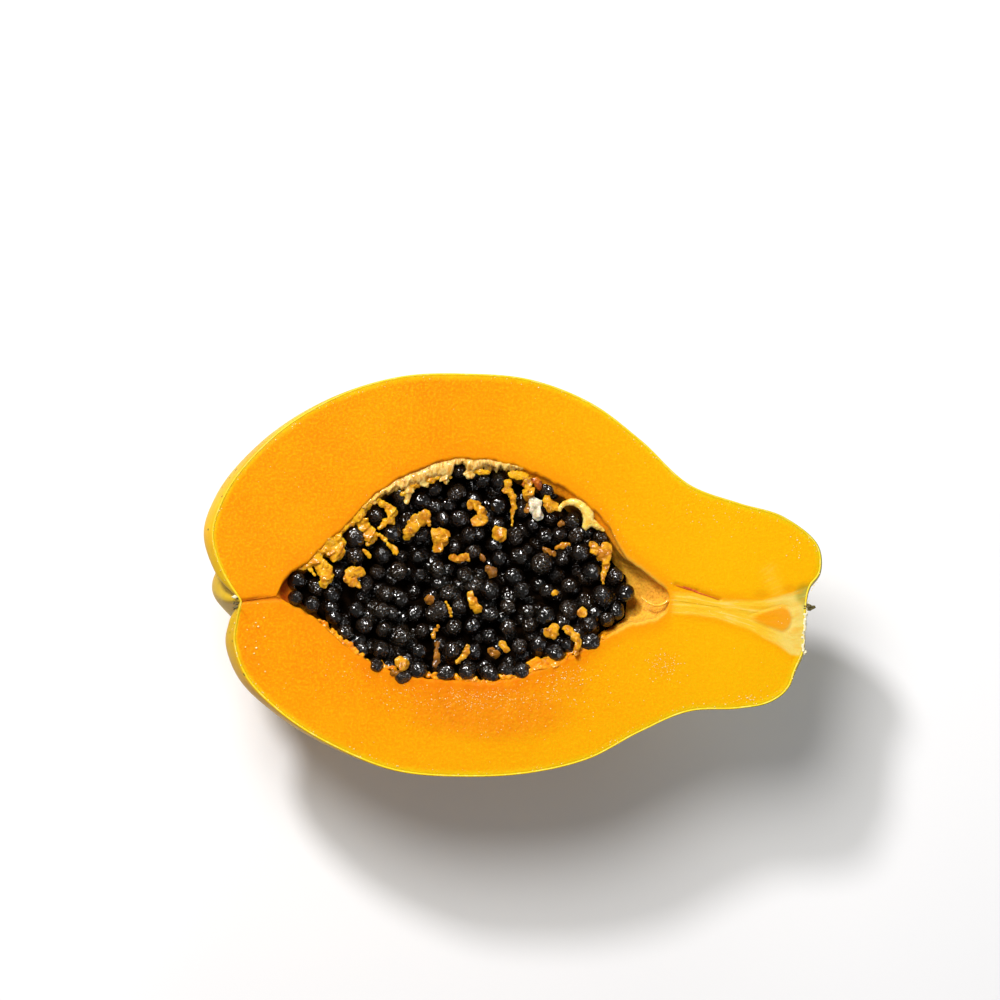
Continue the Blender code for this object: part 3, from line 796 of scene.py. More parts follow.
def make_seeds():
    """All the seeds in their bed, the blossom half and the stem half as two pieces."""
    places, sizes = settled_seeds()
    turns = np.random.RandomState(SEED_DRAW + 1).uniform(-math.pi, math.pi, (len(sizes), 3))
    tones = np.random.RandomState(SEED_DRAW + 2).uniform(0.0, 1.0, len(sizes))
    cage = seed_cage()
    material = seed_coat()
    by_blossom = places[:, 0] <= np.median(places[:, 0])
    for name, chosen in (("seeds_blossom_side", by_blossom), ("seeds_stem_side", ~by_blossom)):
        bm = bmesh.new()
        tone_layer = bm.verts.layers.float.new("tone")
        for index in np.flatnonzero(chosen):
            own = add_mesh(bm, cage)
            put(bm, own, sizes[index], turns[index], places[index])
            for vert in own:
                vert[tone_layer] = tones[index]
        piece = new_piece(name, bm, material, "seed_coat", "seeds")
        rounded = piece.modifiers.new("rounded", "SUBSURF")
        rounded.levels = rounded.render_levels = 2
        add_relief(piece, SEED_WRINKLE_SIZE, 2 * SEED_WRINKLE)


def make_seed_bed():
    """The matted core, nearly black, partly its own wet pulp and partly painted shade between the seeds:
    it follows the hollow's wall below and the bed of seeds above.
    """
    rings = []
    first, last = BED_FIRST_X + MAT_END_GAPS[0], BED_LAST_X - MAT_END_GAPS[1]
    for x in np.linspace(first, last, MAT_STEPS_ALONG + 1):
        middle, half, depth = blunt_hollow(x)
        half, depth = half - MAT_WALL_GAP, depth - MAT_WALL_GAP

        def top(y):
            return np.maximum(bed_height(x, y) - MAT_DROP, -MAT_TOP_SHARE * depth)

        ends = [side * math.sqrt(max(1 - (top(middle + side * half) / depth) ** 2, 0.0))
                for side in (-1, 1)]
        angles = np.linspace(math.acos(ends[0]), math.acos(ends[1]), MAT_STEPS_ACROSS + 1)
        y = middle + half * np.cos(angles)
        below = np.stack((np.full_like(y, x), y, -depth * np.sin(angles)), axis=1)
        above = below.copy()
        bumps = sum(height * noise_at(above, size, shift) for height, size, shift in MAT_BUMPS)
        edge = np.sin(np.linspace(0.0, math.pi, MAT_STEPS_ACROSS + 1))
        above[:, 2] = np.maximum(top(y) + bumps * edge, below[:, 2])
        rings.append(np.concatenate((below, above[::-1][1:])))
    new_piece("seed_bed", closed_sheet(close_ends(rings)), seed_bed_pulp_and_shade(), "seed_coat", "seeds")


# Skin and flesh

def make_skin():
    """The skin as a closed shell, whose cut edge shows as a thin rim round the cut face."""
    outer, under = skin_rings(SKIN_STEPS, 0.0), skin_rings(SKIN_STEPS, SKIN_THICKNESS)
    rings = np.concatenate((outer, under[:, ::-1], outer[:, :1]), axis=1)
    cut = np.zeros(rings.shape[:2])
    cut[:, SKIN_STEPS + 1:-1] = 1.0
    bm = closed_sheet(rings, {"under_skin": cut})
    new_piece("skin", bm, ripe_skin(), "flesh", "papaya_half")


# Where the tones of the cut flesh come up or fade, in millimetres: from the hollow, from the skin,
# inside the core's edge, below the cut, and then along the fruit.
NEAR_HOLLOW = (0.0, 7.0)
NEAR_SKIN = (0.2, 1.9)
BESIDE_CORE = (-3.4, 0.0)
WALL_DEPTHS = (0.2, 1.6)
BESIDE_CORE_FROM_X = (124.0, 130.0)
CORE_END_FROM_X = (148.0, 158.0)
LOWER_RIM_SHADE_TO_X = (30.0, 42.0)
RED_WALL_TO_X = (12.5, 16.5)
TAN_WALL_FROM_X = (104.0, 111.0)

# The tones of the face reach this far down the hollow's wall, and its relief begins this far from
# the skin. Distances are set to FAR on the skin's side, and to ON_WALL on the hollow's wall.
FACE_TONES_DEPTH = 6.0
FACE_RELIEF_FROM_SKIN = (0.0, 1.5)
FAR = 60.0
ON_WALL = 30.0
BRANCH_STRENGTH = 0.34
STAIN_AND_SHADE_SPREAD = 1.15
# The painted shade line on the hollow's rounded rim: how strong it is on the lower side, its place and
# width from the hollow, and the noise that breaks it into gaps.
LOWER_RIM_SHADE_STRENGTH = 0.7
RIM_SHADE_PLACE, RIM_SHADE_WIDTH = 0.35, 0.35
RIM_SHADE_GAPS, RIM_SHADE_GAP_SIZE = (-0.25, 0.35), 2.3
PALE_RIM_REACH = 0.8
LOWER_RIM_REACH = 6.0
TORN_TONE_SIZE = 1.2
TORN_TONE_STREAK = (1.5, 5.0)
WET_TORN_SHARE = 0.4


def painted_layers(points, from_skin, from_hollow, wall):
    """How strongly each tone of the cut flesh shows at each point, by name."""
    x, y = points[..., 0], points[..., 1]
    on_face = (from_skin < FAR) * (points[..., 2] > -FACE_TONES_DEPTH)
    upper, lower = read_off(CORE, x, 1, 2)
    across, core = core_share(points)
    beside_core = smooth_between(*BESIDE_CORE, np.minimum(upper - y, y - lower))
    fork = BRANCH_STRENGTH * np.exp(-((from_line(points, *BRANCH) / BRANCH_WIDTH) ** 2))
    stain_and_shade = spots(points, STAINS)
    # Darkening round the grooves: partly stain and partly painted shade in them.
    for start, end, width, _, strength in GROOVES:
        near = np.exp(-((from_line(points, start, end) / (STAIN_AND_SHADE_SPREAD * width)) ** 2))
        stain_and_shade = np.maximum(stain_and_shade, strength * near)
    middle, _, _ = hollow_edges(x)
    # A thin brown line on the rounded rim, on the upper side and near the blossom on the lower side:
    # painted shade where the rim turns down into the hollow.
    ragged = smooth_between(*RIM_SHADE_GAPS, noise_at(points, RIM_SHADE_GAP_SIZE, 6.6))
    from_line_middle = (from_hollow - RIM_SHADE_PLACE) / RIM_SHADE_WIDTH
    rim = (y > middle) * within(x, UPPER_RIM_STRETCH)
    rim = rim + LOWER_RIM_SHADE_STRENGTH * (y < middle) * (1 - smooth_between(*LOWER_RIM_SHADE_TO_X, x))
    wet = spots(points, WET_SPOTS)
    streaks = np.stack((x / TORN_TONE_STREAK[0], y / TORN_TONE_STREAK[1], x * 0), axis=-1)
    torn = 0.6 + 0.5 * noise_at(streaks, 1.0, 2.6) + 0.6 * noise_at(points, TORN_TONE_SIZE, 4.1)
    lower_rim = (y < middle) * within(x, LOWER_RIM_STRETCH)
    lower_rim = lower_rim * np.exp(-((from_hollow / LOWER_RIM_REACH) ** 2))
    uneven = 0.75 + 0.5 * noise_at(points, 3.0, 9.3)
    layers = {
        "near_hollow": 1 - smooth_between(*NEAR_HOLLOW, from_hollow),
        "wet": wet,
        "torn": np.clip(torn, 0.0, 1.0) * np.maximum(lower_rim, WET_TORN_SHARE * wet),
        "beside_core": beside_core * smooth_between(*BESIDE_CORE_FROM_X, x),
        "core": np.maximum(core, fork),
        "core_end": core * smooth_between(*CORE_END_FROM_X, x),
        "green_end": spots(points, GREEN_SPOTS),
        "teardrop": 1 - smooth_between(*TEARDROP_TONE, teardrop_reach(points)),
        "pale_rim": np.exp(-((from_hollow / PALE_RIM_REACH) ** 2)) * within(x, STEM_RIM_STRETCH),
        "rim_shade_line": np.exp(-(from_line_middle**2)) * ragged * rim,
        "by_skin": (1 - smooth_between(*NEAR_SKIN, from_skin)) * uneven,
        "stain_and_shade": stain_and_shade,
    }
    layers = {name: values * on_face for name, values in layers.items()}
    layers["wall"] = wall
    layers["tan_wall"] = wall * smooth_between(*TAN_WALL_FROM_X, x)
    layers["red_wall"] = wall * (1 - smooth_between(*RED_WALL_TO_X, x))
    layers["core_line"] = across
    return layers


def make_flesh():
    """The flesh inside the skin, with its cut face and the seed hollow."""
    outer = skin_rings(FLESH_OUTER_STEPS, SKIN_THICKNESS)
    hollow, openness = hollow_rings()
    shares = np.linspace(0.0, 1.0, FACE_STEPS + 1)
    shares = (shares - FACE_STEP_CROWDING * np.sin(2 * math.pi * shares))[None, :, None]
    parts, masks = [], {name: [] for name in ("from_skin", "from_hollow", "wall")}

    def add_part(points, *values):
        parts.append(points)
        for mask, value in zip(masks.values(), values):
            mask.append(np.broadcast_to(value, points.shape[:2]))

    add_part(outer, FAR, FAR, 0.0)
    for side, outwards in ((-1, False), (0, True)):
        edge, rim = outer[:, [side]], hollow[:, [side]] * (1.0, 1.0, 0.0)
        face = edge + (rim - edge) * shares
        from_skin = np.linalg.norm(face - edge, axis=2)
        from_hollow = np.linalg.norm(face - rim, axis=2)
        height = face_height(face, from_hollow, openness)
        face[:, :, 2] = height * smooth_between(*FACE_RELIEF_FROM_SKIN, from_skin)
        if outwards:
            face, from_skin, from_hollow = (part[:, ::-1] for part in (face, from_skin, from_hollow))
            wall = hollow[:, ::-1][:, 1:]
            add_part(wall, ON_WALL, 0.0, smooth_between(*WALL_DEPTHS, -wall[:, :, 2]))
        add_part(face[:, 1:], from_skin[:, 1:], from_hollow[:, 1:], 0.0)
    rings = np.concatenate(parts, axis=1)
    masks = {name: np.concatenate(values, axis=1) for name, values in masks.items()}
    bm = closed_sheet(rings, painted_layers(rings, **masks))
    new_piece("flesh", bm, cut_flesh(), "flesh", "papaya_half")


# Pulp in and round the hollow

# Torn pulp, in millimetres: how thick it lies, how far over the middles of the top seeds, the step
# from lump to lump along it, its voxels, and the sizes and heights of its lumpy and grainy relief.
PULP_THICKNESS = 1.5
PULP_RISE = 2.8
PULP_TOP = 2.2
PULP_STEP = 1.0
PULP_SCATTER = 0.06
PULP_FULLNESS = 1.5
PULP_SPREAD = (0.75, 1.1)
PULP_FLATNESS = 0.8
PULP_TILT = 0.6
PULP_VOXEL = 0.22
PULP_RELIEF = ((1.3, 0.3), (0.45, 0.10))
SHADED_SCRAP_RISE = 1.6


def loose_turn(draw):
    """A slight tilt and any turn."""
    return (*draw.uniform(-PULP_TILT, PULP_TILT, 2), draw.uniform(-math.pi, math.pi))


def add_pulp(bm, chain, draw, thickness=PULP_THICKNESS, rise=PULP_RISE):
    """Adds torn pulp on the seeds along a chain of places, each with its width."""
    table = np.array(chain)
    reach = np.concatenate(((0.0,), np.cumsum(np.hypot(*np.diff(table[:, :2], axis=0).T))))
    for at in np.linspace(0.0, reach[-1], max(2, round(reach[-1] / PULP_STEP) + 1)):
        x, y, width = (np.interp(at, reach, column) for column in table.T)
        x, y = draw.normal((x, y), PULP_SCATTER * width)
        width *= PULP_FULLNESS
        tall = min(width, thickness)
        z = min(float(bed_height(x, y)) + rise, PULP_TOP - tall / 2)
        size = (*width * draw.uniform(*PULP_SPREAD, 2), tall * PULP_FLATNESS)
        add_lump(bm, sunk(x, y, z), size, loose_turn(draw), torn=0.6, grain=0.0, detail=1)


def new_pulp(name, bm, material, *stands_for):
    """A piece of torn pulp: its lumps are melted into one mass, and its surface is made grainy."""
    piece = new_piece(name, bm, material, "flesh", *stands_for)
    melted = piece.modifiers.new("melted", "REMESH")
    melted.mode = "VOXEL"
    melted.voxel_size = PULP_VOXEL * MM
    melted.use_smooth_shade = True
    for size, height in PULP_RELIEF:
        add_relief(piece, size, height)


# The lining that is left on the upper wall: place along the fruit and how far it stands out.
LINING = (
    (33.0, 0.3),
    (34.5, 2.6),
    (37.0, 2.4),
    (41.0, 3.0),
    (44.0, 3.6),
    (46.5, 5.0),
    (51.0, 5.0),
    (53.5, 4.2),
    (56.5, 5.2),
    (58.6, 5.4),
    (59.6, 2.2),
    (62.4, 2.0),
    (63.4, 4.8),
    (64.6, 5.0),
    (67.0, 3.2),
    (71.0, 2.6),
    (76.0, 1.7),
    (82.0, 0.3),
)
LINING_STEPS_ALONG = 220
LINING_STEPS_AROUND = 36
LINING_TOP = -0.1
LINING_HEIGHT = 5.2
LINING_ROOT = 0.9
LINING_SWELL, LINING_SWELL_SIZE = 0.7, 2.1
LINING_FRINGE, LINING_FRINGE_SIZE, LINING_FRAY_SIZE = 0.9, 0.9, 0.5
LINING_FRINGE_STRETCH = (1.0, 0.25, 0.25)
PULP_DRAW = 7

# Chains of torn pulp, each a row of places on the cut face with the width there. Tongues of the
# cream lining come first, then yellow tongues between the seeds near the upper rim.
LINING_TONGUES = (
    ((46.4, 33.8, 2.6), (46.5, 31.6, 2.0), (46.3, 29.8, 1.4)),
    ((50.6, 36.0, 2.3), (51.3, 34.6, 1.7)),
    ((56.0, 37.0, 2.6), (56.9, 35.9, 2.0)),
    ((63.7, 38.4, 2.6), (63.4, 37.3, 1.4)),
    ((31.0, 24.4, 1.6), (32.4, 26.4, 2.4), (34.1, 28.3, 2.0), (36.3, 29.8, 2.2)),
)
TONGUES = (
    ((16.6, 9.6, 1.2), (19.5, 12.2, 2.2), (22.5, 15.2, 2.4), (25.5, 18.4, 2.8), (28.5, 21.4, 2.0),
     (31.5, 24.6, 2.6), (34.5, 27.8, 2.6), (37.0, 30.2, 1.8)),
    ((20.6, 13.0, 2.6), (21.6, 11.4, 3.4), (23.3, 9.9, 3.7), (24.3, 7.4, 3.4), (23.2, 5.7, 2.6)),
    ((24.0, 17.4, 3.0), (25.0, 15.6, 4.0), (26.5, 16.6, 4.6), (27.2, 14.4, 3.4), (25.8, 13.4, 2.3)),
    ((28.3, 21.5, 1.6), (30.3, 22.6, 1.6), (32.0, 24.2, 1.8)),
    ((31.6, 25.6, 2.6), (33.1, 23.4, 3.1), (35.2, 21.2, 3.1), (37.0, 19.3, 2.6), (35.6, 17.5, 1.4)),
    ((41.3, 17.1, 1.4), (43.1, 16.0, 2.3), (43.1, 14.9, 1.1)),
    ((34.8, 15.2, 1.1), (36.0, 14.1, 1.4)),
    ((37.5, 29.8, 1.4), (40.1, 28.2, 2.0), (42.4, 26.9, 2.6), (41.9, 24.8, 2.3), (40.0, 22.8, 1.7),
     (38.6, 21.9, 0.9)),
    ((38.9, 19.9, 1.1), (40.4, 18.8, 1.4)),
    ((19.0, 10.4, 1.1), (20.5, 8.4, 1.4)),
    ((76.2, 38.3, 2.0), (78.2, 38.1, 2.8), (80.0, 37.8, 2.0)),
    ((44.8, 31.6, 1.2), (47.5, 33.4, 1.8), (50.0, 34.9, 1.2), (53.0, 36.0, 2.0), (55.5, 37.4, 1.3)),
    ((57.0, 37.4, 1.6), (58.4, 37.0, 1.3)),
    ((64.0, 38.6, 1.2), (66.4, 38.9, 1.7), (69.0, 38.6, 1.3)),
)

# Torn scraps of orange placenta among the seeds, and the ones that lie deeper between them, whose darker
# tones are painted shade.
SCRAPS = (
    ((51.0, 25.5, 3.4), (48.8, 24.2, 3.4), (47.7, 21.9, 3.4), (46.6, 19.9, 2.6)),
    ((52.2, 24.1, 1.4), (52.8, 23.2, 0.9)),
    ((54.6, 21.0, 2.3), (57.1, 21.4, 2.8), (56.4, 18.8, 3.7), (55.6, 16.5, 2.6)),
    ((64.0, 29.0, 2.3), (65.7, 30.0, 2.3), (66.9, 28.3, 2.3), (68.1, 26.0, 2.3), (68.4, 24.3, 1.7),
     (66.1, 24.8, 2.3)),
    ((71.7, 22.2, 2.6), (72.8, 21.1, 3.4)),
    ((74.6, 36.0, 2.0), (74.4, 33.7, 2.3), (75.6, 32.9, 2.3), (76.5, 31.2, 1.7), (76.8, 28.9, 1.4),
     (76.3, 26.9, 0.9), (76.4, 24.1, 0.8)),
    ((59.4, 14.3, 1.7), (61.1, 13.8, 2.3), (63.1, 14.5, 2.3), (64.2, 13.9, 1.4)),
    ((65.2, 4.0, 2.0), (65.8, 1.7, 2.8), (66.7, -0.2, 2.3)),
    ((58.1, 1.5, 0.9), (59.3, -0.2, 0.9), (59.7, -2.2, 0.8)),
    ((56.1, -5.5, 0.9), (55.0, -7.2, 1.4), (54.8, -8.6, 1.1)),
    ((64.8, -10.9, 1.4), (64.3, -12.9, 1.7), (63.0, -14.3, 1.4), (61.6, -15.2, 1.1)),
    ((74.5, -9.7, 1.7), (75.7, -11.3, 2.0)),
    ((45.3, -15.2, 2.3), (46.8, -16.6, 2.8)),
    ((34.2, 9.7, 2.0), (32.2, 9.4, 2.6), (30.2, 8.8, 2.3), (30.0, 6.8, 2.0), (32.0, 6.3, 2.3),
     (33.5, 5.2, 1.1)),
    ((89.1, 5.4, 1.7), (88.5, 4.8, 1.1)),
    ((97.0, 0.0, 2.6), (97.3, -0.3, 2.3)),
    ((89.7, -4.6, 2.3), (88.0, -6.1, 3.1), (89.2, -7.2, 2.3)),
    ((92.8, -4.5, 1.7), (94.0, -5.8, 2.3), (95.8, -7.2, 2.3), (96.1, -9.2, 1.7), (95.6, -11.5, 1.7)),
    ((80.6, 36.5, 2.0), (80.9, 34.2, 2.8), (80.4, 32.5, 2.6)),
    ((86.4, 31.5, 2.3), (87.1, 29.6, 3.1), (88.5, 29.3, 1.7)),
    ((89.2, 18.2, 1.1), (91.2, 18.6, 1.4), (92.6, 19.2, 1.1)),
    ((99.4, 19.2, 2.3), (100.6, 17.2, 2.3), (102.4, 16.1, 3.1), (103.5, 18.2, 2.6), (103.6, 15.0, 2.6),
     (103.4, 12.7, 1.7), (102.6, 10.1, 1.1), (102.9, 8.4, 0.8)),
)
SHADED_SCRAPS = (
    ((70.0, 11.3, 2.3), (71.2, 10.2, 2.8)),
    ((68.2, 14.4, 1.7), (68.5, 13.8, 1.1)),
    ((53.5, 2.2, 2.3), (53.3, 1.9, 1.7)),
    ((56.0, -10.0, 1.4), (55.8, -12.3, 1.1), (56.1, -14.6, 2.0), (55.6, -16.3, 1.4)),
    ((71.4, -12.0, 2.0), (73.2, -12.6, 2.3)),
    ((43.7, -18.7, 1.7), (45.4, -18.9, 2.0)),
    ((85.5, 17.5, 1.1), (87.5, 17.0, 2.0), (88.7, 15.9, 1.1)),
    ((90.1, 24.8, 1.7), (90.7, 25.1, 1.1)),
    ((81.6, 30.8, 1.7), (80.8, 28.8, 2.0)),
)
# Bits stained red by old juice, by the upper rim.
RED_BITS = (
    ((82.6, 36.8, 2.2), (83.7, 35.4, 1.8)),
    ((79.2, 35.6, 0.8), (79.7, 37.0, 0.9), (80.5, 37.9, 0.8)),
)

# The pale curl of placenta round a seed, and the cream lump beside it.
CURL = (
    ((89.6, 28.4, 1.0), (90.2, 30.2, 1.6), (92.4, 31.4, 2.0), (95.0, 31.0, 2.4), (97.2, 29.4, 3.0),
     (98.4, 27.2, 3.6), (98.0, 25.0, 3.0), (96.8, 23.6, 1.6)),
    ((98.6, 25.8, 2.4), (100.8, 24.6, 2.2), (102.8, 23.2, 0.8)),
)
PALE_LUMP = (((82.2, 31.1, 2.3), (83.1, 29.1, 3.4), (83.5, 27.2, 2.8)),)
THREAD = (
    (121.8, 4.2, -0.5), (120.2, 2.7, -0.6), (117.8, 2.3, -0.8), (115.6, 3.4, -1.2), (114.2, 4.9, -1.8),
)
THREAD_RADII = (0.48, 0.44, 0.38, 0.32, 0.14)
CURL_ROUGHNESS, THREAD_ROUGHNESS = 0.25, 0.04

# Torn bits of flesh along the lower rim, and a larger torn place of the rim.
RIM_BIT_COUNT = 160
RIM_BITS_ALONG = (22.0, 104.0)
RIM_BITS_INWARDS = (-0.7, 1.0)
RIM_BIT_SIZE = (0.9, 2.6)
RIM_BIT_THICKNESS = 1.1
RIM_BIT_DEPTH = (0.5, 1.4)
TORN_FLESH_THICKNESS = 1.2
TORN_FLESH_RISE = 0.7
TORN_FLESH = (
    ((82.6, -15.6, 2.2), (85.0, -15.2, 3.2), (87.6, -14.8, 3.0), (90.5, -14.2, 2.6)),
    ((84.4, -13.6, 1.4), (85.2, -14.6, 2.0)),
)


def make_lining():
    """The spongy cream lining along the upper wall, with its tongues down between the seeds."""
    angles = np.linspace(0.0, 2 * math.pi, LINING_STEPS_AROUND + 1)
    out = (1 - np.cos(angles)) / 2
    loose = smooth_between(0.0, 1.0, out)
    rings = []
    for x in np.linspace(LINING[0][0], LINING[-1][0], LINING_STEPS_ALONG + 1):
        middle, half, _ = hollow_edges(x)
        (reach,) = read_off(LINING, x, 1)
        y = middle + half + LINING_ROOT - reach * out
        z = LINING_TOP - LINING_HEIGHT / 2 * (1 - np.sin(angles))
        ring = np.stack((np.full_like(y, x), y, z), axis=1)
        fringe = noise_at(ring * LINING_FRINGE_STRETCH, LINING_FRINGE_SIZE, 7.7)
        fringe += 0.5 * noise_at(ring, LINING_FRAY_SIZE, 1.2)
        swell = LINING_SWELL * noise_at(ring, LINING_SWELL_SIZE, 2.2) + LINING_FRINGE * fringe
        ring[:, 1] -= swell * (0.3 + loose) * min(1.0, reach / 2)
        ring[:, 2] = np.minimum(ring[:, 2], LINING_TOP)
        rings.append(ring)
    bm = closed_sheet(close_ends(rings))
    draw = np.random.RandomState(PULP_DRAW)
    for chain in LINING_TONGUES:
        add_pulp(bm, chain, draw)
    # The dark tone is partly painted shade, and the last tone is painted shade in the crevices.
    tones = ("#E8C470", "#C48A26", "#825218")
    cream = placenta("lining", *tones, left="#E6A41A", stretch=(2.6, 0.7, 0.7))
    new_pulp("lining", bm, cream, "papaya_half")


def make_pulp():
    """Everything torn from the placenta: tongues, scraps, stained bits, lump, curl and thread."""
    # Each has a light tone, a dark tone that is partly painted shade, and a crevice tone that is painted
    # shade.
    for name, chains, tones, node in (
        ("tongues", TONGUES, ("#DFA414", "#C47E0A", "#8C4C08"), "papaya_half"),
        ("scraps", SCRAPS, ("#D89A16", "#AE6A0A", "#703C08"), "seeds"),
        # The deeper scraps' tones are a darker copy of the scraps' tones: painted shade between the
        # seeds.
        ("shaded_scraps", SHADED_SCRAPS, ("#9A6212", "#6E430E", "#3E2208"), "seeds"),
        ("red_bits", RED_BITS, ("#C06C10", "#8E3E08", "#5A2006"), "papaya_half"),
        ("pale_lump", PALE_LUMP, ("#E2D8BC", "#BCA67C", "#7E6844"), "papaya_half"),
    ):
        bm = bmesh.new()
        draw = np.random.RandomState(PULP_DRAW + 1)
        rise = SHADED_SCRAP_RISE if name == "shaded_scraps" else PULP_RISE
        for chain in chains:
            add_pulp(bm, chain, draw, rise=rise)
        new_pulp(name, bm, placenta(name.replace("_", " "), *tones), node)
    bm = bmesh.new()
    for chain in CURL:
        points = [sunk(x, y, min(float(bed_height(x, y)) + PULP_RISE, PULP_TOP - width / 2))
                  for x, y, width in chain]
        add_strand(bm, points, [width / 2 for _, _, width in chain], roughness=CURL_ROUGHNESS)
    new_pulp("curl", bm, placenta("curl", "#F2D272", "#E6B440", "#C08A2C"), "papaya_half")
    bm = bmesh.new()
    add_strand(bm, THREAD, THREAD_RADII, roughness=THREAD_ROUGHNESS)
    thread = placenta("thread", "#F0BE3A", "#E2A420", "#C88A1A")
    new_piece("thread", bm, thread, "flesh", "papaya_half")


def make_rim_bits():
    """Wet torn bits of flesh along the lower rim, beside and under the seeds there."""
    bm = bmesh.new()
    draw = np.random.RandomState(PULP_DRAW + 4)
    for _ in range(RIM_BIT_COUNT):
        x = draw.uniform(*RIM_BITS_ALONG)
        middle, half, _ = hollow_edges(x)
        y = middle - half + LOWER_RIM_OVERHANG + draw.uniform(*RIM_BITS_INWARDS)
        size = (*draw.uniform(*RIM_BIT_SIZE, 2), RIM_BIT_THICKNESS)
        turn = loose_turn(draw)
        place = (x, y, -draw.uniform(*RIM_BIT_DEPTH))
        add_lump(bm, place, size, turn, torn=0.5, grain=0.0, detail=1)
    for chain in TORN_FLESH:
        add_pulp(bm, chain, draw, thickness=TORN_FLESH_THICKNESS, rise=TORN_FLESH_RISE)
    # The darker two tones are painted shade, in part for the middle one.
    material = placenta("rim bits", "#EA9808", "#DE8006", "#C26206")
    new_pulp("rim_bits", bm, material, "papaya_half")


# Slits in the cut face, each with its thickest radius and its places. A thread of juice in a slit
# has these shares of that radius, and then its tip's own.
SLITS = (
    (0.22, ((123.8, 8.5), (127.5, 7.5), (131.8, 6.1), (136.1, 4.9))),
    (0.30, ((125.9, 8.2), (127.3, 7.9), (128.6, 7.3), (130.2, 6.9))),
)
SLIT_SHARES = (0.4, 1.0, 0.8)
SLIT_TIP = 0.07
SLIT_HEIGHT = -0.26


def make_slits():
    """Dark red threads of dried juice in the slits beside the core."""
    bm = bmesh.new()
    for thickest, places in SLITS:
        points = [(x, y, SLIT_HEIGHT) for x, y in places]
        radii = (*[thickest * share for share in SLIT_SHARES], SLIT_TIP)
        add_strand(bm, points, radii, roughness=0.14)
    new_piece("slits", bm, dried_scar("slit", "#D8600C", "#B0400A"), "flesh", "papaya_half")


# Scars

# Lumps of the stem's stub: place, size, and how torn and grainy each is.
STUB_LUMPS = (
    ((161.2, 7.4, -2.0), (1.8, 3.6, 3.0), 0.5, 0.16),
    ((161.8, 3.6, -0.5), (3.4, 1.7, 1.5), 0.6, 0.25),
)
# Fibres of the blossom scar: where they are rooted along, across and below the cut face, how far
# they lean out, aside and up, and their radii from root to tip.
FIBRE_COUNT = 14
FIBRE_ROOTS = ((-1.4, 0.4), (-2.8, 2.2), (0.2, 1.6))
FIBRE_LEANS = ((0.3, 1.2), (-0.9, 0.9), (-0.5, 0.6))
FIBRE_RADII = (0.34, 0.26, 0.07)
# Places of the white torn edge of the stem scar, and how long each bit is.
TORN_EDGE = (
    (161.2, 1.4, 1.4), (161.2, -1.9, 2.4), (160.9, -5.0, 1.6), (160.8, -8.2, 2.2), (161.4, -9.4, 1.2),
)
# The torn edge itself, with its radii.
TORN_LINE = ((162.2, 5.4), (161.6, 2.2), (161.1, 0.3), (161.3, -2.4), (160.9, -5.2), (160.8, -9.2))
TORN_LINE_RADII = (0.20, 0.42, 0.26, 0.48, 0.30, 0.44)
TORN_LINE_HEIGHT, TORN_EDGE_HEIGHT = -0.25, -0.3


def make_scars():
    """The dried, frayed ends of the fruit: the stem's stub and the blossom scar."""
    bm = bmesh.new()
    draw = np.random.RandomState(PULP_DRAW + 2)
    for place, size, torn, grain in STUB_LUMPS:
        add_lump(bm, place, size, torn=torn, grain=grain)
    for _ in range(FIBRE_COUNT):
        x, y, depth = (draw.uniform(*limits) for limits in FIBRE_ROOTS)
        out, aside, up = (draw.uniform(*limits) for limits in FIBRE_LEANS)
        root, lean = Vector((x, y, -depth)), Vector((-out, aside, up))
        add_strand(bm, (root, root + lean * 0.5, root + lean), FIBRE_RADII, roughness=0.12)
    new_piece("scars", bm, dried_scar("stub", "#3A2E1C", "#7E7238"), "flesh", "papaya_half")
    bm = bmesh.new()
    for x, y, wide in TORN_EDGE:
        add_lump(bm, (x, y, TORN_EDGE_HEIGHT), (1.1, wide, 0.8), torn=0.9, grain=0.3, detail=3)
    torn_line = [(x, y, TORN_LINE_HEIGHT) for x, y in TORN_LINE]
    add_strand(bm, torn_line, TORN_LINE_RADII, roughness=0.45)
    add_lump(bm, (-1.5, 1.2, -0.2), (1.5, 0.8, 0.5), torn=0.8, grain=0.3)
    new_piece("scar_edges", bm, dried_scar("torn edge", "#F2E7C4", "#D8CFA2"), "flesh", "papaya_half")


# Juice

# Beads of juice on the cut face: middle and spread of each patch, how many, and their radii.
BEADS = (
    ((4.4, -13.6), (2.2, 5.5), 14, (0.14, 0.36)),
    ((147.4, -22.9), (5.0, 0.9), 50, (0.08, 0.24)),
    ((159.5, 21.6), (1.8, 3.0), 30, (0.08, 0.24)),
    ((120.8, -14.3), (2.6, 2.4), 90, (0.06, 0.16)),
    ((70.0, -24.6), (17.0, 2.2), 360, (0.06, 0.17)),
    ((70.0, -29.0), (14.0, 4.0), 120, (0.05, 0.15)),
    ((90.0, -17.6), (6.0, 2.6), 170, (0.06, 0.18)),
    ((36.0, -18.0), (6.0, 3.0), 70, (0.05, 0.14)),
    ((104.5, 27.5), (5.0, 4.0), 40, (0.06, 0.16)),
    ((135.0, 29.0), (12.0, 3.0), 60, (0.05, 0.14)),
    ((156.5, -1.5), (2.0, 3.5), 5, (0.12, 0.26)),
    ((75.0, 5.0), (48.0, 32.0), 330, (0.05, 0.13)),
)
# The beads stay this far from the skin and from the blossom scar. Both edges of the fruit run on
# from blossom to stem in these rows of the outline.
BEAD_FROM_EDGE = 1.6
BEAD_FROM_BLOSSOM = 1.5
BEAD_ROWS = OUTLINE[3:16]
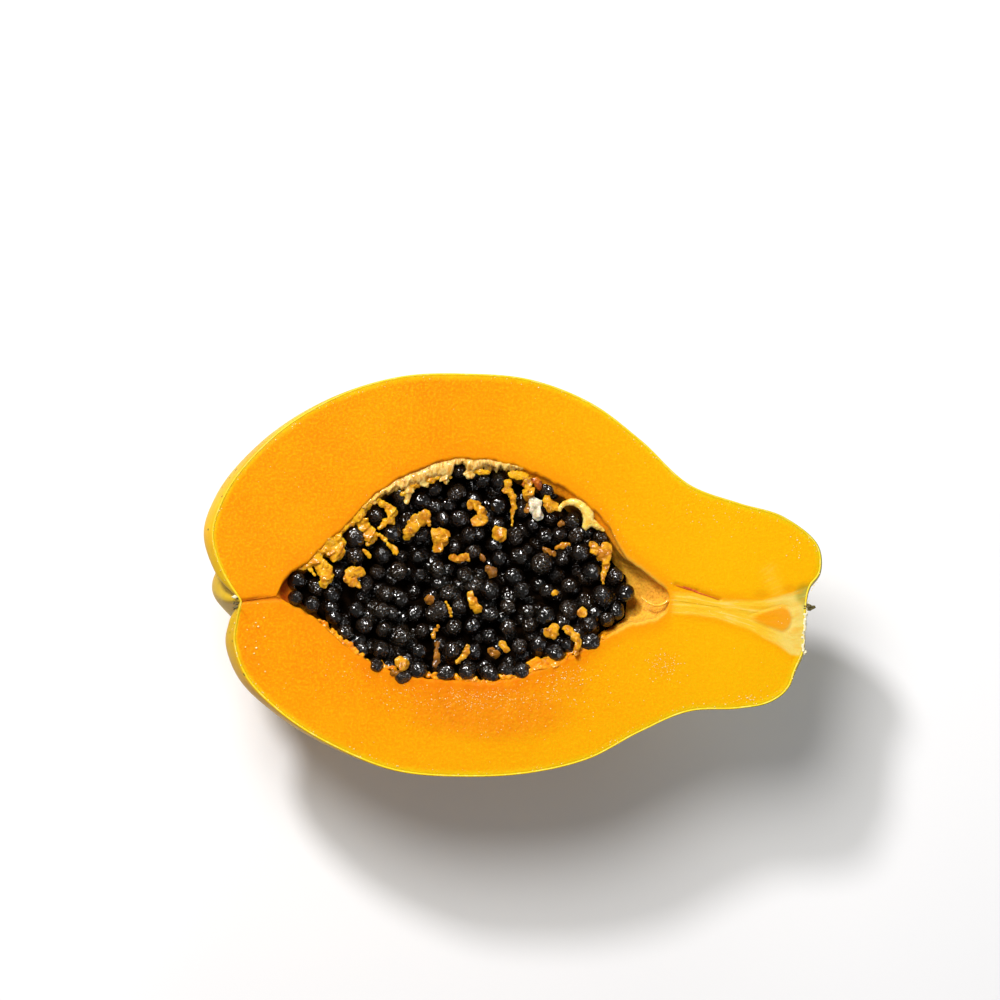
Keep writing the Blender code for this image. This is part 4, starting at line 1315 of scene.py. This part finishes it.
# More beads lie just inside the skin all round, between these stations of the outline.
EDGE_BEAD_COUNT = 300
EDGE_BEAD_STATIONS = (1.0, 16.0)
EDGE_BEAD_INSET = (0.6, 2.2)
EDGE_BEAD_RADII = (0.05, 0.19)
BEAD_LONGER = (0.8, 1.4)
BEAD_FLATNESS = 0.7
BEAD_RISE = 0.2
BEAD_BATCH = 40


def on_cut_face(x, y):
    """Whether a place lies on the cut flesh, clear of the skin and of the seed hollow."""
    table = np.array(BEAD_ROWS)
    upper = np.interp(x, table[:, 0], table[:, 1]) - BEAD_FROM_EDGE
    lower = np.interp(x, table[:, 2], table[:, 3]) + BEAD_FROM_EDGE
    middle, half, _ = hollow_edges(x)
    on_fruit = BEAD_FROM_BLOSSOM < x < OUTLINE[-1][0] - BEAD_FROM_EDGE and lower < y < upper
    return on_fruit and abs(y - middle) > half + BEAD_FROM_EDGE / 2


def make_juice():
    """Small pale beads of juice and latex that stand on the cut face, pale partly from the latex and
    partly as painted sparkle.
    """
    bm = bmesh.new()
    draw = np.random.RandomState(PULP_DRAW + 3)
    spread = [(place, radii) for middle, size, count, radii in BEADS
              for place in draw.normal(middle, size, (count, 2)) if on_cut_face(*place)]
    for station in draw.uniform(*EDGE_BEAD_STATIONS, EDGE_BEAD_COUNT):
        row = along_rows(OUTLINE, station)[:4].reshape(2, 2)
        edge, other = row if draw.uniform() < 0.5 else row[::-1]
        inwards = (other - edge) / np.linalg.norm(other - edge)
        spread.append((edge + inwards * draw.uniform(*EDGE_BEAD_INSET), EDGE_BEAD_RADII))
    for start in range(0, len(spread), BEAD_BATCH):
        batch = bmesh.new()
        for (x, y), radii in spread[start:start + BEAD_BATCH]:
            radius = radii[0] + (radii[1] - radii[0]) * draw.uniform(0.0, 1.0) ** 2
            made = bmesh.ops.create_uvsphere(batch, u_segments=8, v_segments=5, radius=radius)["verts"]
            size = (draw.uniform(*BEAD_LONGER), 1.0, BEAD_FLATNESS)
            bmesh.ops.scale(batch, vec=size, verts=made)
            bmesh.ops.translate(batch, vec=(x, y, radius * BEAD_RISE), verts=made)
        mesh = finished_mesh("beads", batch)
        bm.from_mesh(mesh)
        bpy.data.meshes.remove(mesh)
    new_piece("juice_beads", bm, juice(), "flesh", "papaya_half")


# Materials

def linear(colour):
    """An sRGB hex colour as linear red, green, blue and alpha."""
    channels = [int(colour[start:start + 2], 16) / 255 for start in (1, 3, 5)]
    low = [value / 12.92 for value in channels]
    high = [((value + 0.055) / 1.055) ** 2.4 for value in channels]
    return (*[a if value <= 0.04045 else b for value, a, b in zip(channels, low, high)], 1.0)


def fill(tree, node, inputs):
    """Sets or links a node's inputs, which go by name or by the node's own order.

    Each is a value, a socket, or a node whose first output is linked.
    """
    for name, value in inputs.items() if isinstance(inputs, dict) else enumerate(inputs):
        if isinstance(value, bpy.types.Node):
            value = value.outputs[0]
        if isinstance(value, bpy.types.NodeSocket):
            tree.links.new(value, node.inputs[name])
        else:
            node.inputs[name].default_value = value


def add(tree, kind, inputs=(), **settings):
    """Adds a shader node with its settings and its inputs."""
    node = tree.nodes.new("ShaderNode" + kind)
    for name, value in settings.items():
        setattr(node, name, value)
    fill(tree, node, inputs)
    return node


# Where a Mix node has the colour below, the colour above and the mixed colour.
BELOW, ABOVE, MIXED = 6, 7, 2


def new_material(name, constants):
    """A material, its node tree, its shader, and the place on the fruit in millimetres."""
    material = bpy.data.materials.new(name)
    material.use_nodes = True
    tree = material.node_tree
    shader = tree.nodes["Principled BSDF"]
    fill(tree, shader, constants)
    place = add(tree, "Mapping", {
        "Vector": add(tree, "TexCoord").outputs["Object"],
        "Location": [-shift / MM for shift in TO_FRAME],
        "Scale": (1 / MM,) * 3,
    })
    return material, tree, shader, place


def covered(tree, colour, layers):
    """A colour with tones laid over it in turn.

    A layer has what it follows, the value of that at which it starts and the one at which it is
    full, how strong it is there, and its tone.
    """
    for source, start, full, most, tone in layers:
        share = add(tree, "MapRange", (source, start, full, 0.0, most))
        mixed = add(tree, "Mix", {0: share, BELOW: colour, ABOVE: linear(tone)}, data_type="RGBA")
        colour = mixed.outputs[MIXED]
    return colour


def ripe_skin():
    """Waxy skin, grown and ripened: yellow to orange, a green flush at the neck, dark specks."""
    material, tree, shader, place = new_material("ripe papaya skin, waxy", {
        "Roughness": 0.5, "Specular IOR Level": 0.25, "Coat Weight": 0.06, "Coat Roughness": 0.3,
        "Subsurface Weight": 0.12, "Subsurface Scale": 0.003, "Subsurface Radius": (1.0, 0.45, 0.1),
    })
    mottle, flush, clusters, rough, fine, pores = (
        add(tree, "TexNoise", {
            "Vector": place, "Scale": 1 / size, "Detail": detail, "Roughness": roughness,
            "Distortion": distortion,
        })
        for size, detail, roughness, distortion in (
            (26.0, 5.0, 0.55, 0.0),
            (17.0, 6.0, 0.62, 0.0),
            (21.0, 3.0, 0.5, 0.0),
            (13.0, 8.0, 0.7, 0.6),
            (2.2, 4.0, 0.6, 0.0),
            (0.9, 3.0, 0.6, 0.0),
        )
    )
    along = add(tree, "SeparateXYZ", (place,))
    neck = add(tree, "MapRange", (along, 88.0, 158.0, -0.22, 0.42))
    green = add(tree, "Math", (neck, flush))
    crowded = add(tree, "MapRange", (clusters, 0.40, 0.60, 0.30, 1.0))
    specks = 0.0
    for spacing, largest in ((1.9, 0.34), (3.1, 0.27), (6.5, 0.17)):
        cells = add(tree, "TexVoronoi", {"Vector": place, "Scale": 1 / spacing})
        random = add(tree, "SeparateColor", (cells.outputs["Color"],))
        radius = add(tree, "MapRange", (random, 0.25, 1.0, 0.0, largest))
        grown = add(tree, "Math", (radius, crowded), operation="MULTIPLY")
        inside = add(tree, "Math", (grown, cells.outputs["Distance"]), operation="SUBTRACT")
        speck = add(tree, "MapRange", (inside, 0.0, 0.07))
        specks = add(tree, "Math", (specks, speck), operation="MAXIMUM")
    layers = [
        (mottle, 0.36, 0.66, 1.0, "#D09006"),
        (fine, 0.3, 0.7, 0.28, "#B08410"),
        (green, 0.42, 0.95, 0.85, "#87900F"),
        (specks, 0.0, 1.0, 0.82, "#42460F"),
        (rough, 0.66, 0.74, 0.6, "#A98660"),
    ]
    for centre, far, near, tone in (
        ((161.5, 0.0, 0.0), 10.5, 8.0, "#8C6A34"),
        ((-0.6, 0.0, 0.0), 4.0, 1.4, "#7A5A1C"),
        ((-4.0, -2.0, -10.0), 24.0, 7.0, "#BC9A0E"),
    ):
        away = add(tree, "VectorMath", (place, centre), operation="DISTANCE").outputs["Value"]
        layers.append((away, far, near, 0.9, tone))
    colour = covered(tree, linear("#E2AE08"), layers)
    rind = covered(tree, linear("#F0CC12"), [(fine, 0.5, 0.66, 1.0, "#F3DA5C")])
    cut_edge = add(tree, "Attribute", attribute_name="under_skin").outputs["Fac"]
    edge = add(tree, "MapRange", (cut_edge, 0.02, 0.5))
    whole = add(tree, "Mix", {0: edge, BELOW: colour, ABOVE: rind}, data_type="RGBA")
    raised = add(tree, "Math", (specks, pores))
    bump = add(tree, "Bump", {"Height": raised, "Strength": 0.22, "Distance": 0.0004})
    fill(tree, shader, {"Base Color": whole.outputs[MIXED], "Normal": bump})
    return material


# Tones of the cut flesh in the order in which they cover each other: painted layer, share, colour.
FLESH_LAYERS = (
    ("near_hollow", 0.55, "#DA7E07"),
    ("wet", 0.45, "#D97C08"),
    ("torn", 0.85, "#D66E04"),
    ("beside_core", 0.40, "#DC8A05"),
    ("by_skin", 0.80, "#DEB40C"),
    ("core", 0.92, "#DEB42A"),
    ("core_end", 0.85, "#DAC164"),
    ("green_end", 0.60, "#7E7A14"),
    ("teardrop", 0.90, "#DD9004"),
    ("pale_rim", 0.70, "#DFB648"),
    # The rim line is painted shade on the hollow's rounded rim.
    ("rim_shade_line", 0.80, "#9A5A14"),
    ("wall", 0.95, "#D4800E"),
    ("tan_wall", 0.90, "#E8AC3A"),
    ("red_wall", 0.95, "#94300A"),
    # This layer is partly real stain and partly painted shade round the grooves.
    ("stain_and_shade", 0.90, "#B04A0A"),
)


def cut_flesh():
    """Ripe flesh, cut and wet with juice: deep orange, paler by the skin and in the core."""
    material, tree, shader, place = new_material("cut papaya flesh, wet", {
        "Roughness": 0.30, "Specular IOR Level": 0.05, "Coat Roughness": 0.12,
        "Subsurface Weight": 0.35, "Subsurface Scale": 0.004, "Subsurface Radius": (1.0, 0.35, 0.06),
    })
    parts = add(tree, "SeparateXYZ", (place,))
    mottle, cells = (
        add(tree, "TexNoise", {
            "Vector": place, "Scale": 1 / size, "Detail": detail, "Roughness": roughness,
        })
        for size, detail, roughness in ((15.0, 4.0, 0.6), (0.8, 3.0, 0.7))
    )
    colour = covered(tree, linear("#DD8804"), (
        (mottle, 0.35, 0.65, 1.0, "#DB7E04"),
        (parts.outputs["X"], 62.0, 138.0, 1.0, "#DFA304"),
        (parts.outputs["Y"], -22.0, -44.0, 0.5, "#DFA304"),
        (cells, 0.44, 0.70, 0.55, "#E2B00A"),
    ))
    for name, most, tone in FLESH_LAYERS:
        layer = add(tree, "Attribute", attribute_name=name).outputs["Fac"]
        share = add(tree, "Math", (layer, most), operation="MULTIPLY")
        mixed = add(tree, "Mix", {0: share, BELOW: colour, ABOVE: linear(tone)}, data_type="RGBA")
        colour = mixed.outputs[MIXED]
        if name == "green_end":
            colour = veined(tree, parts.outputs["X"], colour)
    wall = add(tree, "Attribute", attribute_name="wall").outputs["Fac"]
    blotches = add(tree, "MapRange", (cells, 0.46, 0.66, 0.0, 0.55))
    share = add(tree, "Math", (wall, blotches), operation="MULTIPLY")
    colour = covered(tree, colour, [(share, 0.0, 1.0, 1.0, "#A05A10")])
    wet = add(tree, "Attribute", attribute_name="wet").outputs["Fac"]
    glitter = add(tree, "TexVoronoi", {"Vector": place, "Scale": 1 / 0.85}).outputs["Distance"]
    wetness = add(tree, "MapRange", (wet, 0.0, 1.0, 0.35, 1.0))
    facets = add(tree, "Math", (glitter, wetness), operation="MULTIPLY")
    raised = add(tree, "Math", (facets, cells))
    bump = add(tree, "Bump", {"Height": raised, "Strength": 0.35, "Distance": 0.0003})
    juicy = add(tree, "MapRange", (wet, 0.1, 1.0, 0.0, 0.25))
    fill(tree, shader, {
        "Base Color": colour, "Normal": bump, "Coat Normal": bump, "Coat Weight": juicy,
    })
    return material


def veined(tree, along, colour):
    """The colour of the core with fine veins that run along it and spread with it."""
    across, core = (add(tree, "Attribute", attribute_name=name).outputs["Fac"]
                    for name in ("core_line", "core"))
    length = add(tree, "Math", (along, 1 / VEIN_LENGTH), operation="MULTIPLY")
    lane = add(tree, "Math", (across, VEINS_ACROSS), operation="MULTIPLY")
    flow = add(tree, "CombineXYZ", (length, lane))
    streaks = add(tree, "TexNoise", {"Vector": flow, "Scale": 1.0, "Detail": 3.0, "Roughness": 0.6})
    for low, high, tone in ((0.52, 0.70, "#DC9E10"), (0.48, 0.32, "#E4CA6E")):
        streak = add(tree, "MapRange", (streaks, low, high, 0.0, 0.60))
        share = add(tree, "Math", (streak, core), operation="MULTIPLY")
        mixed = add(tree, "Mix", {0: share, BELOW: colour, ABOVE: linear(tone)}, data_type="RGBA")
        colour = mixed.outputs[MIXED]
    return colour


def placenta(part, light, dark, crevice_shade, left=None, stretch=(1.0, 1.0, 1.0)):
    """Torn placenta, wet and glossy, in three streaky tones: a light one, a dark one that is partly its
    own streaks and partly painted shade, and a crevice tone that is painted shade in its crevices; its
    left part has its own light tone.
    """
    material, tree, shader, place = new_material("torn papaya placenta, wet, " + part, {
        "Roughness": 0.4, "Specular IOR Level": 0.1, "Coat Weight": 0.8, "Coat Roughness": 0.1,
        "Coat IOR": 1.4, "Subsurface Weight": 0.5, "Subsurface Scale": 0.0015,
        "Subsurface Radius": (1.0, 0.5, 0.12),
    })
    flow = add(tree, "VectorMath", (place, stretch), operation="MULTIPLY")
    layers = [(add(tree, "SeparateXYZ", (place,)), 30.0, 46.0, 1.0, light)]
    # Darker tones laid by noise: the dark one is partly streaks and partly painted shade, and the crevice
    # tone is painted shade.
    for size, low, high, most, tone in ((2.2, 0.44, 0.62, 0.9, dark), (1.5, 0.56, 0.74, 0.8, crevice_shade)):
        clouds = add(tree, "TexNoise", {
            "Vector": flow, "Scale": 1 / size, "Detail": 3.0, "Roughness": 0.5,
        })
        layers.append((clouds, low, high, most, tone))
    colour = covered(tree, linear(left or light), layers)
    cells = add(tree, "TexVoronoi", {"Vector": place, "Scale": 1 / 0.5}).outputs["Distance"]
    bump = add(tree, "Bump", {"Height": cells, "Strength": 0.4, "Distance": 0.0002}, invert=True)
    fill(tree, shader, {"Base Color": colour, "Normal": bump})
    return material


def seed_coat():
    """Black seeds, ridged, in a thin wet gel coat: sharp small glints on near-black brown, with pale
    lines on the ridges that are partly painted glints.
    """
    material, tree, shader, place = new_material("papaya seed in its gel coat, wet", {
        "Roughness": 0.5, "Specular IOR Level": 0.0,
        "Coat Weight": 1.0, "Coat Roughness": 0.03, "Coat IOR": 1.72,
    })
    tone = add(tree, "Attribute", attribute_name="tone").outputs["Fac"]
    bent = add(tree, "TexNoise", {"Vector": place, "Scale": 1 / 1.6, "Detail": 1.0})
    warped = add(tree, "VectorMath", (bent.outputs["Color"], place), operation="ADD")
    ridges = add(tree, "TexVoronoi", {
        "Vector": warped, "Scale": 1 / 1.05,
    }, feature="DISTANCE_TO_EDGE")
    # Pale lines on the ridges of the more netted seeds: partly the coat's own pale ridges and partly
    # painted glints along them.
    pale = add(tree, "MapRange", (ridges, 0.04, 0.20, 1.0, 0.0))
    lined = add(tree, "MapRange", (tone, 0.35, 1.0, 0.15, 0.9))
    pale_net_and_glints = add(tree, "Math", (pale, lined), operation="MULTIPLY")
    layers = [(tone, 0.0, 1.0, 1.0, "#120903"), (pale_net_and_glints, 0.0, 1.0, 1.0, "#2C2014")]
    fill(tree, shader, {"Base Color": covered(tree, linear("#040201"), layers)})
    crest = add(tree, "MapRange", (ridges, 0.0, 0.35, 1.0, 0.0))
    netted = add(tree, "MapRange", (tone, 0.3, 1.0, 0.45, 1.0))
    for socket, strength, distance in (("Normal", 1.0, 0.0003), ("Coat Normal", netted, 0.00024)):
        bump = add(tree, "Bump", {"Height": crest, "Strength": strength, "Distance": distance})
        fill(tree, shader, {socket: bump})
    return material


def seed_bed_pulp_and_shade():
    """The wet mat under the seeds: pulp and gel whose near-black colour is partly their own and partly
    painted shade in the gaps between the seeds.
    """
    constants = {"Roughness": 0.45, "Specular IOR Level": 0.0}
    material, tree, shader, place = new_material("seed bed pulp, wet", constants)
    clouds = add(tree, "TexNoise", {"Vector": place, "Scale": 1 / 3.0, "Detail": 4.0})
    # Near-black base: partly the pulp's own colour and partly painted shade between the seeds.
    colour = covered(tree, linear("#040302"), [(clouds, 0.4, 0.75, 1.0, "#160C05")])
    bump = add(tree, "Bump", {"Height": clouds, "Strength": 0.6, "Distance": 0.001})
    fill(tree, shader, {"Base Color": colour, "Normal": bump})
    return material


def dried_scar(part, light, dark):
    """Dried, corky scar tissue: matt and fibrous."""
    name = "dried papaya scar, corky, " + part
    material, tree, shader, place = new_material(name, {"Roughness": 0.75})
    fibres = add(tree, "TexNoise", {
        "Vector": place, "Scale": 1 / 1.1, "Detail": 5.0, "Roughness": 0.7,
    })
    colour = covered(tree, linear(light), [(fibres, 0.35, 0.65, 1.0, dark)])
    bump = add(tree, "Bump", {"Height": fibres, "Strength": 0.7, "Distance": 0.0005})
    fill(tree, shader, {"Base Color": colour, "Normal": bump})
    return material


def juice():
    """Juice clouded by latex, in beads: smooth and shining, and pale, partly from the latex and partly as
    painted sparkle.
    """
    # The pale base colour is partly the latex's milk and partly painted sparkle.
    constants = {"Base Color": linear("#F3D690"), "Roughness": 0.06}
    return new_material("papaya juice with latex, milky, with painted sparkle", constants)[0]


def studio_floor():
    """Matt white board, painted: an even pale ground that takes soft shadows."""
    constants = {"Base Color": linear("#E6E6E6"), "Roughness": 0.9, "Specular IOR Level": 0.0}
    return new_material("painted studio board, matt", constants)[0]


# Studio

def make_floor():
    """A wide flat floor, which is no part of the fruit."""
    bm = bmesh.new()
    bmesh.ops.create_grid(bm, x_segments=1, y_segments=1, size=FLOOR_SIZE / 2)
    mesh = finished_mesh("floor", bm)
    mesh.materials.append(studio_floor())
    floor = new_object("floor", mesh)


def make_lights():
    """Round soft lamps that face the fruit, and a white world with a little light of its own."""
    middle = (HALF_LOW + HALF_HIGH) / 2
    for name, (place, size, power, colour) in LIGHTS.items():
        lamp = bpy.data.lights.new(name, "AREA")
        lamp.shape = "DISK"
        lamp.size = size
        lamp.energy = power
        lamp.color = linear(colour)[:3]
        holder = new_object(name, lamp)
        holder.location = middle + Vector(place)
        holder.rotation_euler = Vector(place).to_track_quat("Z", "Y").to_euler()
    world = bpy.data.worlds.new("studio")
    world.use_nodes = True
    background = world.node_tree.nodes["Background"]
    background.inputs["Color"].default_value = linear(WORLD_COLOUR)
    background.inputs["Strength"].default_value = WORLD_STRENGTH
    bpy.context.scene.world = world
    bpy.context.scene.view_settings.view_transform = "Standard"


def make_camera():
    """The camera, tilted and rolled as the photograph's is to the cut face."""
    aim = Vector((*VIEW_MIDDLE, 0.0)) * MM + Vector(TO_FRAME)
    right = Vector((math.cos(VIEW_ROLL), math.sin(VIEW_ROLL), 0.0))
    right = (right - VIEW_BACK * right.dot(VIEW_BACK)).normalized()
    turn = Matrix((right, VIEW_BACK.cross(right), VIEW_BACK)).transposed()
    lens = bpy.data.cameras.new("camera")
    lens.lens = LENS
    lens.sensor_width = SENSOR
    camera = new_object("camera", lens)
    place = aim + VIEW_BACK * VIEW_DISTANCE * MM
    camera.matrix_world = Matrix.Translation(place) @ turn.to_4x4()
    bpy.context.scene.camera = camera


def to_frame():
    """What moves a place on the cut face, in metres, into the part's own frame."""
    skin = skin_rings(SKIN_STEPS, 0.0).reshape(-1, 3)
    middle = (skin.min(axis=0) + skin.max(axis=0)) / 2 * MM
    centre = (HALF_LOW + HALF_HIGH) / 2
    return (centre.x - middle[0], centre.y - middle[1], HALF_HIGH.z)


TO_FRAME = to_frame()
noise.seed_set(STRAND_SEED)
make_floor()
make_lights()
make_camera()
make_skin()
make_flesh()
make_seeds()
make_seed_bed()
make_lining()
make_pulp()
make_rim_bits()
make_slits()
make_scars()
make_juice()
